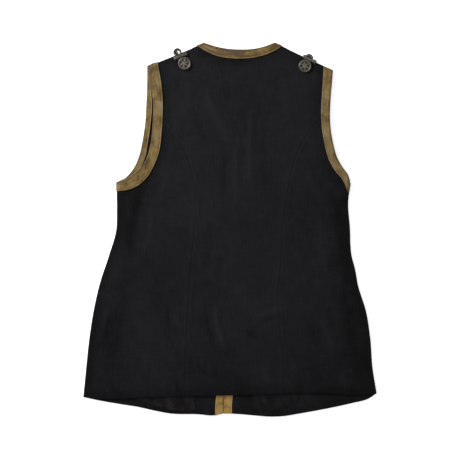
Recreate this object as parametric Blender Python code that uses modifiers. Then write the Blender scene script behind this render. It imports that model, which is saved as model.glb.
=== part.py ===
"""Folk-dress vest laid flat with its back up: wool panels, ribbon bindings and two shoulder clasps.

Lengths in the tables and constants are millimetres, and MM turns them into metres. X runs from the left
of the laid-out vest to its right, Y from hem to neck, Z up from the surface that it lies on. The fronts
lie on that surface, the back lies on the fronts, and the origin is under the middle of the outline.
"""
import math

import bmesh
import bpy
import numpy as np
from mathutils import Matrix, Vector

MM = 0.001

# Thicknesses and the gap between pieces
WOOL = 1.4
RIBBON = 1.0
LINING = 1.0
GAP = 0.3
LAYER_GAP = 0.4

# Heights of the middle of the wool above the surface
LEG_INSIDE = WOOL / 2 + GAP
LEG_OUTSIDE = LEG_INSIDE + RIBBON
EDGE_INSET = RIBBON + GAP
FRONT_LEVEL = WOOL / 2
FRONT_BOUND_LEVEL = LEG_OUTSIDE
BACK_BOUND_LEVEL = FRONT_BOUND_LEVEL + 2 * LEG_OUTSIDE + LAYER_GAP
BACK_LEVEL = 5.9
BACK_HEM_LEVEL = 5.4
BACK_SIDE_LEVEL = FRONT_LEVEL + WOOL + GAP
FRONT_SHOULDER_LEVEL = BACK_BOUND_LEVEL - WOOL - GAP

# Widths over which the wool changes height
BOUND_FLAT = 26.0
BOUND_RAMP = 20.0
SIDE_RAMP = 32.0
BACK_SHOULDER_FLAT = 38.0
FRONT_SHOULDER_RAMP = 34.0
HEM_RAMP = 45.0

# Finished edges, each row x, y, from the hem up or from left to right
SIDE_LEFT = ((-285.2, -325.0), (-279.7, -269.0), (-273.9, -214.0), (-265.7, -160.0), (-253.3, -105.0),
             (-235.7, -51.0), (-221.2, 0.0), (-219.8, 40.0), (-220.4, 93.6))
SIDE_RIGHT = ((285.2, -318.0), (277.3, -269.0), (273.1, -214.0), (264.9, -160.0), (248.3, -105.0),
              (243.6, -78.0), (236.6, -51.0), (233.1, 4.0), (230.0, 60.0), (234.6, 90.0))
BACK_HEM = ((-286.0, -325.0), (-252.0, -327.2), (-212.0, -327.4), (-153.0, -324.5), (-73.0, -322.3),
            (10.0, -320.8), (80.0, -318.0), (126.0, -315.9), (195.0, -317.0), (240.0, -320.0),
            (286.0, -318.0))
FRONT_HEM = ((-286.0, -325.0), (-252.0, -332.3), (-212.0, -339.2), (-178.0, -344.7), (-143.0, -352.6),
             (-118.0, -357.2), (-63.0, -359.0), (-29.0, -361.0), (-12.0, -357.5), (10.0, -357.8),
             (45.0, -360.8), (80.0, -363.4), (103.0, -362.6), (137.0, -357.2), (206.0, -344.3),
             (241.0, -336.5), (268.0, -329.4), (286.0, -318.0))
NECK = ((-50.0, 364.4), (-32.0, 358.4), (-8.4, 353.3), (18.0, 351.4), (48.8, 353.0), (68.8, 357.8),
        (86.8, 364.6))
ARMHOLE_BACK_LEFT = ((-220.4, 93.6), (-207.0, 97.0), (-191.0, 107.0), (-173.6, 122.0), (-160.5, 145.0),
                     (-154.1, 171.6), (-150.6, 210.0), (-149.8, 247.7), (-154.5, 279.0), (-161.5, 317.9))
ARMHOLE_BACK_RIGHT = ((234.6, 90.0), (230.0, 107.0), (219.8, 121.5), (209.2, 140.0), (201.4, 166.1),
                      (196.2, 195.8), (194.6, 223.5), (195.6, 250.0), (197.9, 279.2), (200.5, 310.8))
ARMHOLE_FRONT_LEFT = ((-220.4, 93.6), (-203.5, 102.5), (-188.8, 119.0), (-177.5, 143.5), (-170.4, 174.7),
                      (-165.4, 209.6), (-163.3, 244.5), (-161.8, 279.2), (-161.5, 317.9))
ARMHOLE_FRONT_RIGHT = ((234.6, 90.0), (227.5, 105.0), (216.5, 121.5), (205.7, 140.0), (198.0, 166.1),
                       (193.0, 195.8), (191.4, 223.5), (192.6, 250.0), (195.8, 279.2), (200.5, 310.8))
SEAM_LEFT = ((-86.0, -322.7), (-87.8, -277.0), (-85.8, -230.0), (-81.9, -163.8), (-79.0, -97.5),
             (-74.1, -50.7), (-67.5, 20.0), (-66.8, 60.0), (-69.5, 90.0), (-78.0, 126.8), (-90.5, 158.0),
             (-112.0, 186.0), (-130.0, 204.0))
SEAM_RIGHT = ((107.3, -316.6), (103.4, -253.5), (97.0, -190.0), (94.0, -125.0), (99.5, -58.5),
              (102.5, 4.0), (109.2, 58.5), (115.1, 89.7), (121.5, 121.0), (131.5, 152.1), (148.2, 183.3),
              (173.0, 214.5))
FRONT_CENTRE = ((-12.5, -357.2), (15.0, 231.0))
NECKLINE_CORNER = 6.0
NECKLINE_FRONT_LEFT = ((-8.0, 260.0), (-29.0, 297.0), (-43.0, 333.0), (-50.0, 364.4))
NECKLINE_FRONT_RIGHT = ((41.0, 260.0), (63.0, 297.0), (78.0, 333.0), (86.8, 364.6))
SHOULDER_SAG_LEFT = 1.0
SHOULDER_SAG_RIGHT = 0.4

# Fractions of the armholes' lengths where the two princess seams run into them
SEAM_TOP_LEFT = 0.615
SEAM_TOP_RIGHT = 0.68

# Ends of the shoulder lines at the armholes
TIP_LEFT = ARMHOLE_BACK_LEFT[-1]
TIP_RIGHT = ARMHOLE_BACK_RIGHT[-1]

# Numbers of points on a smooth line and on a shoulder line
LINE_SAMPLES = 240
SHOULDER_SAMPLES = 60

# Where the panels' grids have their rows and columns, as fractions of the edges; the rows of the seams
# lie closer together towards the hem's end by the bias
ROW_BIAS = 1.25
SEAM_ROWS = 1 - (1 - np.linspace(0.0, 1.0, 21))**ROW_BIAS
ARMHOLE_ROWS = np.linspace(0.0, 1.0, 6)
SHOULDER_COLUMNS = np.array((0.0, 0.2, 0.4, 0.6, 0.8, 1.0))
NECK_COLUMNS = np.linspace(0.0, 1.0, 10)
SIDE_COLUMNS = np.array((0.0, 0.07, 0.15, 0.25, 0.35, 0.45, 0.55, 0.65, 0.75, 0.85, 0.93, 1.0))
FRONT_COLUMNS = np.array((0.0, 0.1, 0.21, 0.36, 0.5, 0.64, 0.79, 0.9, 1.0))
FRONT_ARMHOLE_ROWS = np.linspace(0.0, 1.0, 14)
FRONT_ROWS = np.concatenate((SEAM_ROWS * 0.6, 0.6 + 0.4 * FRONT_ARMHOLE_ROWS[1:]))

# Rows and columns of the fronts' grids that the lining strips follow, and how far up the first row each
# strip's lower edge lies at its outer and inner end
LINING_ROWS = slice(0, 4)
LINING_COLUMNS = {"left": slice(1, 7), "right": slice(2, 8)}
LINING_LOWER = {"left": (0.95, 0.4), "right": (0.4, 0.95)}

# Soft folds of the back, each row x0, y0, x1, y1, half width, height (a trough is below zero)
BACK_FOLDS = (
    (-163.8, 82.0, -192.0, -45.0, 20.0, -0.8),
    (200.0, 60.0, 226.0, -90.0, 24.0, -0.8),
    (226.0, -90.0, 246.0, -250.0, 24.0, -0.8),
    (-43.0, 265.0, 8.0, 164.0, 20.0, 1.0),
    (43.0, 215.0, 43.0, 74.0, 22.0, 1.0),
    (-11.7, 152.0, -11.7, 60.0, 18.0, -0.8),
    (-26.0, -150.0, -8.0, -235.0, 20.0, 1.3),
    (-117.0, -150.0, -115.0, -215.0, 18.0, -0.8),
    (172.0, -170.0, 200.0, -240.0, 18.0, 1.2),
    (66.0, -240.0, 78.0, -285.0, 18.0, 1.1),
)

# Bottom corners of the two front-edge ribbons on their inner sides
HEM_RIBBON_LEFT = (-28.6, -361.5)
HEM_RIBBON_RIGHT = (4.6, -357.4)

# Ribbon widths on the right side of the cloth, and the shares of them on its wrong side; an inner edge
# made by width keeps each so many points of its line, those further than the clearance from its ends
FRONT_EDGE_WIDTH = 16.6
FRONT_ARMHOLE_WIDTH = 18.0
INNER_EDGE_STEP = 12
INNER_EDGE_CLEARANCE = 2.0
BACK_INNER_SHARE = 0.7
FRONT_INNER_SHARE = 0.64
FRONT_EDGE_INNER_SHARE = 0.97

# Outside of a ribbon's fold from its leg to its edge, each row distance in from the edge, height
RIBBON_FOLD = ((RIBBON * 1.2, LEG_OUTSIDE), (RIBBON * 0.35, LEG_OUTSIDE * 0.84), (0.0, LEG_INSIDE * 0.9))
RIBBON_END_FACES = ((0, 1, 2, 11), (11, 2, 3, 4), (11, 4, 5, 10), (10, 5, 6, 7), (10, 7, 8, 9))

# Inner edges of the ribbons that show, each row x, y, in the order of the finished edge
NECK_INNER = ((-64.0, 358.2), (-43.1, 345.9), (-25.7, 338.5), (-3.3, 334.2), (20.0, 333.0), (53.8, 336.6),
              (73.7, 342.5), (88.0, 349.2), (101.5, 357.4))
ARMHOLE_BACK_LEFT_INNER = ((-219.9, 75.6), (-202.8, 77.2), (-181.7, 84.6), (-162.0, 101.5), (-147.0, 126.8),
                           (-137.3, 154.1), (-132.8, 190.0), (-130.7, 227.0), (-130.9, 257.4),
                           (-134.0, 288.6), (-140.6, 326.2))
ARMHOLE_BACK_RIGHT_INNER = ((229.9, 72.0), (218.0, 99.0), (204.0, 115.5), (191.9, 137.5), (184.1, 166.1),
                            (179.0, 195.8), (177.0, 226.0), (178.2, 253.5), (180.6, 288.0),
                            (182.0, 318.1))

# Shoulder clasps, along the clasp from the middle of its disc
DISC_RADIUS = 12.5
DISC_HEIGHT = 2.6
DISC_STEPS = 28
BAR_HALF_LENGTH = 14.6
BAR_HALF_WIDTH = 3.0
BAR_PLACE = DISC_RADIUS + GAP + BAR_HALF_WIDTH
BAR_LOBE = 3.7
BAR_LOBE_STEPS = 10
BAR_HEIGHT = 2.2
PLATE_LENGTH = 34.0
PLATE_HALF_WIDTH = 8.2
PLATE_TAIL_HALF_WIDTH = 9.0
PLATE_HEIGHT = 1.2
HEAD_START = -30.0
HEAD_SWEEP = 240.0
HEAD_STEPS = 28
SCALLOPS = 7
SCALLOP_DEPTH = 0.35
EYE_PLACE = 10.7
EYE_SHIFT = 2.2
EYE_HALF_WIDTH = 3.2
EYE_STEPS = 16
CLASP_BASE = BACK_BOUND_LEVEL + WOOL / 2 + GAP

# Profile of the disc from its middle round its rim to its underside, each row radius, height
DISC_PROFILE = ((0.0, DISC_HEIGHT), (2.4, DISC_HEIGHT * 0.95), (4.6, DISC_HEIGHT * 0.72),
                (7.0, DISC_HEIGHT * 0.62), (9.2, DISC_HEIGHT * 0.6), (10.2, DISC_HEIGHT * 0.86),
                (11.4, DISC_HEIGHT * 0.9), (DISC_RADIUS, DISC_HEIGHT * 0.6), (DISC_RADIUS, 0.2),
                (DISC_RADIUS - 0.4, 0.0), (0.0, 0.0))

# Each row side, x and y of the disc, then the turn of the bar from +X towards +Y in degrees and its
# slide along itself, and the turn of the plate, its reach and its eye's half length
CLASPS = (
    ("left", -88.5, 323.6, (23.0, -1.6), (32.0, 34.3, 5.0)),
    ("right", 145.6, 318.6, (-27.0, 2.0), (-27.0, 26.0, 3.4)),
)

# Each material's colour, roughness and metallic
COLOURS = {
    "wool": ((0.012, 0.012, 0.013, 1.0), 0.92, 0.0),
    "lining": ((0.010, 0.010, 0.011, 1.0), 0.45, 0.0),
    "ribbon": ((0.235, 0.145, 0.048, 1.0), 0.55, 0.0),
    "silver": ((0.28, 0.26, 0.24, 1.0), 0.42, 0.9),
}


def clear_scene():
    """Empty the scene so that it holds only this part."""
    for thing in list(bpy.data.objects):
        bpy.data.objects.remove(thing)


def make_material(name):
    """Return the Principled material of that name."""
    colour, roughness, metallic = COLOURS[name]
    material = bpy.data.materials.new(name)
    material.use_nodes = True
    shader = material.node_tree.nodes["Principled BSDF"]
    shader.inputs["Base Color"].default_value = colour
    shader.inputs["Roughness"].default_value = roughness
    shader.inputs["Metallic"].default_value = metallic
    return material


def smooth(rows, samples=LINE_SAMPLES):
    """Return a dense smooth line through the rows, evenly spaced along its length."""
    points = np.array(rows, dtype=float)
    along = np.concatenate(([0.0], np.cumsum(np.linalg.norm(np.diff(points, axis=0), axis=1))))
    slopes = np.gradient(points, along, axis=0)
    places = np.linspace(0.0, along[-1], samples)
    spans = np.clip(np.searchsorted(along, places, side="right") - 1, 0, len(along) - 2)
    step = (along[spans + 1] - along[spans])[:, None]
    t = (places[:, None] - along[spans][:, None]) / step
    line = ((2 * t**3 - 3 * t**2 + 1) * points[spans] + (t**3 - 2 * t**2 + t) * step * slopes[spans]
            + (3 * t**2 - 2 * t**3) * points[spans + 1] + (t**3 - t**2) * step * slopes[spans + 1])
    return respace(line, np.linspace(0.0, 1.0, samples))


def respace(line, fractions):
    """Return points of the line at the given fractions of its length."""
    along = np.concatenate(([0.0], np.cumsum(np.linalg.norm(np.diff(line, axis=0), axis=1))))
    places = np.asarray(fractions) * along[-1]
    return np.stack([np.interp(places, along, line[:, axis]) for axis in (0, 1)], axis=1)


def shifted(line, distance):
    """Return the line moved to its right by the distance, square to its own direction."""
    direction = np.gradient(line, axis=0)
    direction /= np.linalg.norm(direction, axis=1)[:, None]
    return line + distance * np.stack([direction[:, 1], -direction[:, 0]], axis=1)


def joined(*lines):
    """Return the lines as one, leaving out the points where they meet twice."""
    return np.concatenate([lines[0]] + [line[1:] for line in lines[1:]])


def hem_line(rows, start, end, fractions):
    """Return points of a hem between two x values."""
    hem = smooth(rows)
    x = start + (end - start) * np.asarray(fractions)
    return np.stack([x, np.interp(x, hem[:, 0], hem[:, 1])], axis=1)


def sagging_line(start, end, sag, fractions):
    """Return points of a nearly straight edge that dips by sag in its middle."""
    t = np.asarray(fractions)[:, None]
    line = np.array(start) * (1 - t) + np.array(end) * t
    line[:, 1] -= sag * 4 * (t * (1 - t))[:, 0]
    return line


def distance_to(line, points):
    """Return how far each point lies from the line."""
    starts, steps = line[:-1], np.diff(line, axis=0)
    offset = points[:, None, :] - starts[None]
    share = np.clip((offset * steps).sum(axis=2) / (steps**2).sum(axis=1), 0.0, 1.0)
    return np.linalg.norm(offset - share[..., None] * steps, axis=2).min(axis=1)


def ease(value):
    """Return a soft step from 0 to 1."""
    t = np.clip(value, 0.0, 1.0)
    return t * t * (3 - 2 * t)


def near(distance, flat, ramp):
    """Return 1 within the flat width and 0 beyond the ramp."""
    return 1 - ease((distance - flat) / ramp)


def patch(bottom, top, left, right):
    """Return a grid of plan points that fills four edges, one row for each point of the left edge."""
    u = fraction_along(bottom, top)[None, :, None]
    v = fraction_along(left, right)[:, None, None]
    across = left[:, None] * (1 - u) + right[:, None] * u
    upward = bottom[None] * (1 - v) + top[None] * v
    corners = ((bottom[0] * (1 - u) + bottom[-1] * u) * (1 - v) + (top[0] * (1 - u) + top[-1] * u) * v)
    return across + upward - corners


def fraction_along(first, second):
    """Return the mean fraction of length at each point of two matching edges."""
    fractions = []
    for line in (first, second):
        along = np.concatenate(([0.0], np.cumsum(np.linalg.norm(np.diff(line, axis=0), axis=1))))
        fractions.append(along / along[-1])
    return (fractions[0] + fractions[1]) / 2


class BoundEdge:
    """A finished edge and the wool edge inside its ribbon, both read at a fraction of its length."""

    def __init__(self, line, inset, inner):
        """Keep the finished edge and the ribbon's inner edge, and move the wool's edge in by the inset."""
        self.line = line
        self.wool_line = shifted(self.line, inset)
        self.inner_line = inner

    def read(self, line, fractions):
        """Return points of one of the lines at the fractions."""
        fractions = np.atleast_1d(fractions)
        places = np.linspace(0.0, 1.0, len(line))
        return np.stack([np.interp(fractions, places, line[:, axis]) for axis in (0, 1)], axis=1)

    def finished(self, fractions):
        """Return points of the finished edge."""
        return self.read(self.line, fractions)

    def wool(self, fractions):
        """Return points of the wool's own edge."""
        return self.read(self.wool_line, fractions)

    def inner(self, fractions):
        """Return points of the ribbon's inner edge."""
        return self.read(self.inner_line, fractions)


def inner_by_width(edge, width, first, last):
    """Return a ribbon's inner edge at one width from the finished edge, with its end points given."""
    line = shifted(edge, width)
    inside = np.minimum(distance_to(np.array((edge[0], first)), line),
                        distance_to(np.array((edge[-1], last)), line)) > INNER_EDGE_CLEARANCE
    return smooth([first] + list(line[inside][::INNER_EDGE_STEP]) + [last])


class Outline:
    """The finished edges of the vest as it lies."""

    def __init__(self):
        """Draw all the finished edges."""
        self.side_left = smooth(SIDE_LEFT)
        self.side_right = smooth(SIDE_RIGHT)
        even = np.linspace(0.0, 1.0, SHOULDER_SAMPLES)
        self.shoulder_left = sagging_line(TIP_LEFT, NECK[0], SHOULDER_SAG_LEFT, even)
        self.shoulder_right = sagging_line(NECK[-1], TIP_RIGHT, SHOULDER_SAG_RIGHT, even)
        self.neck = BoundEdge(smooth(NECK), EDGE_INSET, smooth(NECK_INNER))
        self.armhole_back_left = BoundEdge(smooth(ARMHOLE_BACK_LEFT), EDGE_INSET,
                                           smooth(ARMHOLE_BACK_LEFT_INNER))
        self.armhole_back_right = BoundEdge(smooth(ARMHOLE_BACK_RIGHT), -EDGE_INSET,
                                            smooth(ARMHOLE_BACK_RIGHT_INNER))
        line = smooth(ARMHOLE_FRONT_LEFT)
        self.armhole_front_left = BoundEdge(
            line, EDGE_INSET, inner_by_width(line, FRONT_ARMHOLE_WIDTH, ARMHOLE_BACK_LEFT_INNER[0],
                                             ARMHOLE_BACK_LEFT_INNER[-1]))
        line = smooth(ARMHOLE_FRONT_RIGHT)
        self.armhole_front_right = BoundEdge(
            line, -EDGE_INSET, inner_by_width(line, -FRONT_ARMHOLE_WIDTH, ARMHOLE_BACK_RIGHT_INNER[0],
                                              ARMHOLE_BACK_RIGHT_INNER[-1]))
        line = front_edge_line(NECKLINE_FRONT_LEFT, -GAP / 2)
        self.front_left = BoundEdge(
            line, -EDGE_INSET, inner_by_width(line, -FRONT_EDGE_WIDTH, HEM_RIBBON_LEFT, NECK_INNER[0]))
        line = front_edge_line(NECKLINE_FRONT_RIGHT, GAP / 2)
        self.front_right = BoundEdge(
            line, EDGE_INSET, inner_by_width(line, FRONT_EDGE_WIDTH, HEM_RIBBON_RIGHT, NECK_INNER[-1]))


def front_edge_line(neckline, shift):
    """Return one front edge, straight from the hem and then curved up to the neck, moved by shift."""
    (x0, y0), (x1, y1) = FRONT_CENTRE
    straight = np.array(((x0 + shift, y0), (x1 + shift, y1)))
    curve = smooth(((x1 + shift, y1), (x1 + math.copysign(NECKLINE_CORNER, shift), y1 + NECKLINE_CORNER))
                   + neckline)
    return respace(joined(straight, curve), np.linspace(0.0, 1.0, LINE_SAMPLES))


def back_level(outline, points):
    """Return the height of the middle of the back's wool at plan points."""
    bound = np.minimum.reduce([distance_to(edge.line, points) for edge in
                               (outline.neck, outline.armhole_back_left, outline.armhole_back_right)])
    side = np.minimum(distance_to(outline.side_left, points), distance_to(outline.side_right, points))
    shoulder = np.minimum(distance_to(outline.shoulder_left, points),
                          distance_to(outline.shoulder_right, points))
    level = np.full(len(points), BACK_LEVEL)
    for x0, y0, x1, y1, half_width, height in BACK_FOLDS:
        line = np.array([(x0, y0), (x1, y1)])
        level += height * near(distance_to(line, points), 0.0, half_width)
    hem = points[:, 1] - np.interp(points[:, 0], *np.array(BACK_HEM).T)
    level += (BACK_HEM_LEVEL - level) * near(hem, 0.0, HEM_RAMP)
    level += (BACK_SIDE_LEVEL - level) * near(side, 0.0, SIDE_RAMP)
    raised = np.maximum(near(bound, BOUND_FLAT, BOUND_RAMP),
                        near(shoulder, BACK_SHOULDER_FLAT, BOUND_RAMP))
    return level + (BACK_BOUND_LEVEL - level) * raised


def front_level(outline, points):
    """Return the height of the middle of the fronts' wool at plan points."""
    bound = np.minimum.reduce([distance_to(edge.line, points) for edge in
                               (outline.front_left, outline.front_right, outline.armhole_front_left,
                                outline.armhole_front_right)])
    shoulder = np.minimum(distance_to(outline.shoulder_left, points),
                          distance_to(outline.shoulder_right, points))
    at_ribbon = near(bound, BOUND_FLAT, BOUND_RAMP)
    level = FRONT_LEVEL + (FRONT_SHOULDER_LEVEL - FRONT_LEVEL) * near(shoulder, 0.0, FRONT_SHOULDER_RAMP)
    return level + (FRONT_BOUND_LEVEL - level) * at_ribbon


def grid_object(name, points, thickness, material, collection):
    """Make an open grid surface through the rows of points and give it a wall."""
    rows, columns = points.shape[:2]
    mesh = bpy.data.meshes.new(name)
    work = bmesh.new()
    bmesh.ops.create_grid(work, x_segments=columns - 1, y_segments=rows - 1, size=1.0)
    for vert in work.verts:
        column = round((vert.co.x + 1) / 2 * (columns - 1))
        row = round((vert.co.y + 1) / 2 * (rows - 1))
        vert.co = Vector(points[row, column]) * MM
    work.to_mesh(mesh)
    work.free()
    thing = bpy.data.objects.new(name, mesh)
    wall = thing.modifiers.new("wall", "SOLIDIFY")
    wall.thickness = thickness * MM
    wall.offset = 0.0
    dress(thing, material, collection)
    return thing


def dress(thing, material, collection):
    """Give a piece its material and its collection."""
    thing.data.materials.append(material)
    collection.objects.link(thing)


def raised(grid, level):
    """Return the plan grid with a height at each point."""
    flat = grid.reshape(-1, 2)
    return np.concatenate([flat, level(flat)[:, None]], axis=1).reshape(*grid.shape[:2], 3)


def ribbon_section(finished, wool, inner, level, upper_share, lower_share):
    """Return the closed section of a folded ribbon, from its upper leg round the fold to its lower leg."""
    inward = (wool - finished) / np.linalg.norm(wool - finished)

    def fold(along, up):
        return (*(finished + inward * along), level + up)

    def leg_end(share, up):
        return (*(finished + (inner - finished) * share), level + up)

    upper = [fold(along, up) for along, up in RIBBON_FOLD]
    lower = [fold(along, -up) for along, up in RIBBON_FOLD[::-1]]
    return (leg_end(upper_share, LEG_INSIDE), leg_end(upper_share, LEG_OUTSIDE), *upper, *lower,
            leg_end(lower_share, -LEG_OUTSIDE), leg_end(lower_share, -LEG_INSIDE),
            fold(RIBBON, -LEG_INSIDE), fold(RIBBON, LEG_INSIDE))


def binding(name, edge, fractions, level, upper_share, lower_share, material, collection):
    """Make a ribbon folded over a bound edge, with a section at each fraction of the edge."""
    mesh = bpy.data.meshes.new(name)
    work = bmesh.new()
    rings = []
    for finished, wool, inner in zip(edge.finished(fractions), edge.wool(fractions), edge.inner(fractions)):
        section = ribbon_section(finished, wool, inner, level, upper_share, lower_share)
        rings.append([work.verts.new(Vector(point) * MM) for point in section])
    for one, two in zip(rings[:-1], rings[1:]):
        for index in range(len(one)):
            after = (index + 1) % len(one)
            work.faces.new((one[index], one[after], two[after], two[index]))
    for ring in (rings[0], rings[-1]):
        for corners in RIBBON_END_FACES:
            work.faces.new([ring[corner] for corner in corners])
    bmesh.ops.recalc_face_normals(work, faces=work.faces)
    work.to_mesh(mesh)
    work.free()
    thing = bpy.data.objects.new(name, mesh)
    dress(thing, material, collection)
    return thing


def make_back(outline, material, collection):
    """Make the back's centre panel and its two side panels."""
    arm_left, arm_right, neck = outline.armhole_back_left, outline.armhole_back_right, outline.neck
    seam_left = smooth(SEAM_LEFT + (tuple(arm_left.wool(SEAM_TOP_LEFT)[0]),))
    seam_right = smooth(SEAM_RIGHT + (tuple(arm_right.wool(SEAM_TOP_RIGHT)[0]),))
    half_gap = np.array((GAP / 2, 0.0))

    def level(points):
        return back_level(outline, points)

    left = joined(respace(seam_left, SEAM_ROWS) + half_gap, arm_left.wool(upper_part(SEAM_TOP_LEFT)))
    right = joined(respace(seam_right, SEAM_ROWS) - half_gap, arm_right.wool(upper_part(SEAM_TOP_RIGHT)))
    neck_edge = neck.wool(NECK_COLUMNS)
    top = joined(sagging_line(left[-1], neck_edge[0], SHOULDER_SAG_LEFT, SHOULDER_COLUMNS), neck_edge,
                 sagging_line(neck_edge[-1], right[-1], SHOULDER_SAG_RIGHT, 1 - SHOULDER_COLUMNS[::-1]))
    bottom = hem_line(BACK_HEM, left[0][0], right[0][0], fraction_along(top, top))
    left[0], right[0] = bottom[0], bottom[-1]
    grid_object("back_centre", raised(patch(bottom, top, left, right), level), WOOL, material, collection)

    inner = respace(seam_left, SEAM_ROWS) - half_gap
    outer = respace(outline.side_left, SEAM_ROWS)
    top = arm_left.wool(SIDE_COLUMNS * SEAM_TOP_LEFT)
    top[-1] -= half_gap
    bottom = hem_line(BACK_HEM, outer[0][0], inner[0][0], SIDE_COLUMNS)
    outer[0], outer[-1], inner[0], inner[-1] = bottom[0], top[0], bottom[-1], top[-1]
    grid_object("back_side_left", raised(patch(bottom, top, outer, inner), level), WOOL, material,
                collection)

    inner = respace(seam_right, SEAM_ROWS) + half_gap
    outer = respace(outline.side_right, SEAM_ROWS)
    top = arm_right.wool(SIDE_COLUMNS * SEAM_TOP_RIGHT)[::-1]
    top[0] += half_gap
    bottom = hem_line(BACK_HEM, inner[0][0], outer[0][0], 1 - SIDE_COLUMNS[::-1])
    inner[0], inner[-1], outer[0], outer[-1] = bottom[0], top[0], bottom[-1], top[-1]
    grid_object("back_side_right", raised(patch(bottom, top, inner, outer), level), WOOL, material,
                collection)


def upper_part(start):
    """Return the fractions of an armhole from the princess seam up to the shoulder."""
    return start + (1 - start) * ARMHOLE_ROWS


def make_fronts(outline, wool, lining, collection):
    """Make the two fronts and the strip of lining that shows on each below the back's hem."""
    def level(points):
        return front_level(outline, points)

    for side in ("left", "right"):
        arm = getattr(outline, f"armhole_front_{side}").wool(FRONT_ARMHOLE_ROWS)
        outer = joined(respace(getattr(outline, f"side_{side}"), SEAM_ROWS), arm)
        outer[len(SEAM_ROWS) - 1] = arm[0]
        inner = getattr(outline, f"front_{side}").wool(FRONT_ROWS)
        sag = SHOULDER_SAG_LEFT if side == "left" else SHOULDER_SAG_RIGHT
        top = sagging_line(arm[-1], inner[-1], sag, FRONT_COLUMNS)
        bottom = hem_line(FRONT_HEM, outer[0][0], inner[0][0], FRONT_COLUMNS)
        outer[0], inner[0] = bottom[0], bottom[-1]
        grid = patch(bottom, top, outer, inner)
        if side == "right":
            grid = grid[:, ::-1]
        points = raised(grid, level)
        grid_object(f"front_{side}", points, WOOL, wool, collection)
        make_lining(side, points, lining, collection)


def make_lining(side, front_points, material, collection):
    """Make the lining's lower strip from the front's own points, moved up off the wool."""
    strip = front_points[LINING_ROWS, LINING_COLUMNS[side]].copy()
    share = np.linspace(*LINING_LOWER[side], strip.shape[1])
    strip[0] += (strip[1] - strip[0]) * share[:, None]
    strip[..., 2] += WOOL / 2 + GAP + LINING / 2
    grid_object(f"front_lining_{side}", strip, LINING, material, collection)


def make_bindings(outline, material, collection):
    """Make the ribbon bindings of neck, armholes and front edges."""
    binding("neck_binding", outline.neck, NECK_COLUMNS, BACK_BOUND_LEVEL, 1.0, BACK_INNER_SHARE, material,
            collection)
    for side, seam_top in (("left", SEAM_TOP_LEFT), ("right", SEAM_TOP_RIGHT)):
        fractions = np.concatenate((SIDE_COLUMNS * seam_top, upper_part(seam_top)[1:]))
        binding(f"armhole_binding_back_{side}", getattr(outline, f"armhole_back_{side}"), fractions,
                BACK_BOUND_LEVEL, 1.0, BACK_INNER_SHARE, material, collection)
        binding(f"armhole_binding_front_{side}", getattr(outline, f"armhole_front_{side}"),
                FRONT_ARMHOLE_ROWS, FRONT_BOUND_LEVEL, FRONT_INNER_SHARE, 1.0, material, collection)
        binding(f"front_edge_binding_{side}", getattr(outline, f"front_{side}"), FRONT_ROWS,
                FRONT_BOUND_LEVEL, FRONT_EDGE_INNER_SHARE, 1.0, material, collection)


def flat_shape(name, outlines, height):
    """Return a flat curve object of closed outlines, the first one outside and the rest holes."""
    curve = bpy.data.curves.new(name, "CURVE")
    curve.dimensions = "2D"
    curve.fill_mode = "BOTH"
    curve.extrude = height / 2 * MM
    for outline in outlines:
        spline = curve.splines.new("POLY")
        spline.points.add(len(outline) - 1)
        for point, (x, y) in zip(spline.points, outline):
            point.co = (x * MM, y * MM, 0.0, 1.0)
        spline.use_cyclic_u = True
    return bpy.data.objects.new(name, curve)


def plate_outline(reach):
    """Return the outline of a clasp plate, narrow at the tail and scalloped round the eye."""
    tail = reach - PLATE_LENGTH
    head = reach - PLATE_HALF_WIDTH
    points = [(-PLATE_TAIL_HALF_WIDTH, tail), (PLATE_TAIL_HALF_WIDTH, tail)]
    for index in range(HEAD_STEPS + 1):
        share = index / HEAD_STEPS
        angle = math.radians(HEAD_START + HEAD_SWEEP * share)
        radius = PLATE_HALF_WIDTH - SCALLOP_DEPTH * (1 - math.cos(SCALLOPS * 2 * math.pi * share))
        points.append((radius * math.cos(angle), head + radius * math.sin(angle)))
    return points


def eye_outline(reach, half_length):
    """Return the outline of the eye in a clasp plate, a little to the right of the plate's middle."""
    middle = reach - EYE_PLACE
    turns = [2 * math.pi * index / EYE_STEPS for index in range(EYE_STEPS)]
    return [(EYE_SHIFT + EYE_HALF_WIDTH * math.cos(turn), middle + half_length * math.sin(turn))
            for turn in turns]


def bar_outline(slide):
    """Return the outline of a clasp's crossbar with a round lobe at each end, slid along itself."""
    centre = BAR_HALF_LENGTH - BAR_LOBE
    reach = math.asin(BAR_HALF_WIDTH / BAR_LOBE)
    points = []
    for side in (1, -1):
        for index in range(BAR_LOBE_STEPS + 1):
            angle = (math.pi - reach) * (2 * index / BAR_LOBE_STEPS - 1)
            turned = angle if side == 1 else angle + math.pi
            points.append((slide + side * centre + BAR_LOBE * math.cos(turned),
                           BAR_PLACE + BAR_LOBE * math.sin(turned)))
    return points


def disc_object(name):
    """Return a clasp disc turned from its profile: a raised rim, a groove and a low dome."""
    mesh = bpy.data.meshes.new(name)
    work = bmesh.new()
    verts = [work.verts.new((radius * MM, 0.0, height * MM)) for radius, height in DISC_PROFILE]
    for one, two in zip(verts[:-1], verts[1:]):
        work.edges.new((one, two))
    work.to_mesh(mesh)
    work.free()
    thing = bpy.data.objects.new(name, mesh)
    turn = thing.modifiers.new("turn", "SCREW")
    turn.steps = DISC_STEPS
    turn.render_steps = DISC_STEPS
    turn.use_merge_vertices = True
    turn.merge_threshold = 0.00001
    return thing


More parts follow.
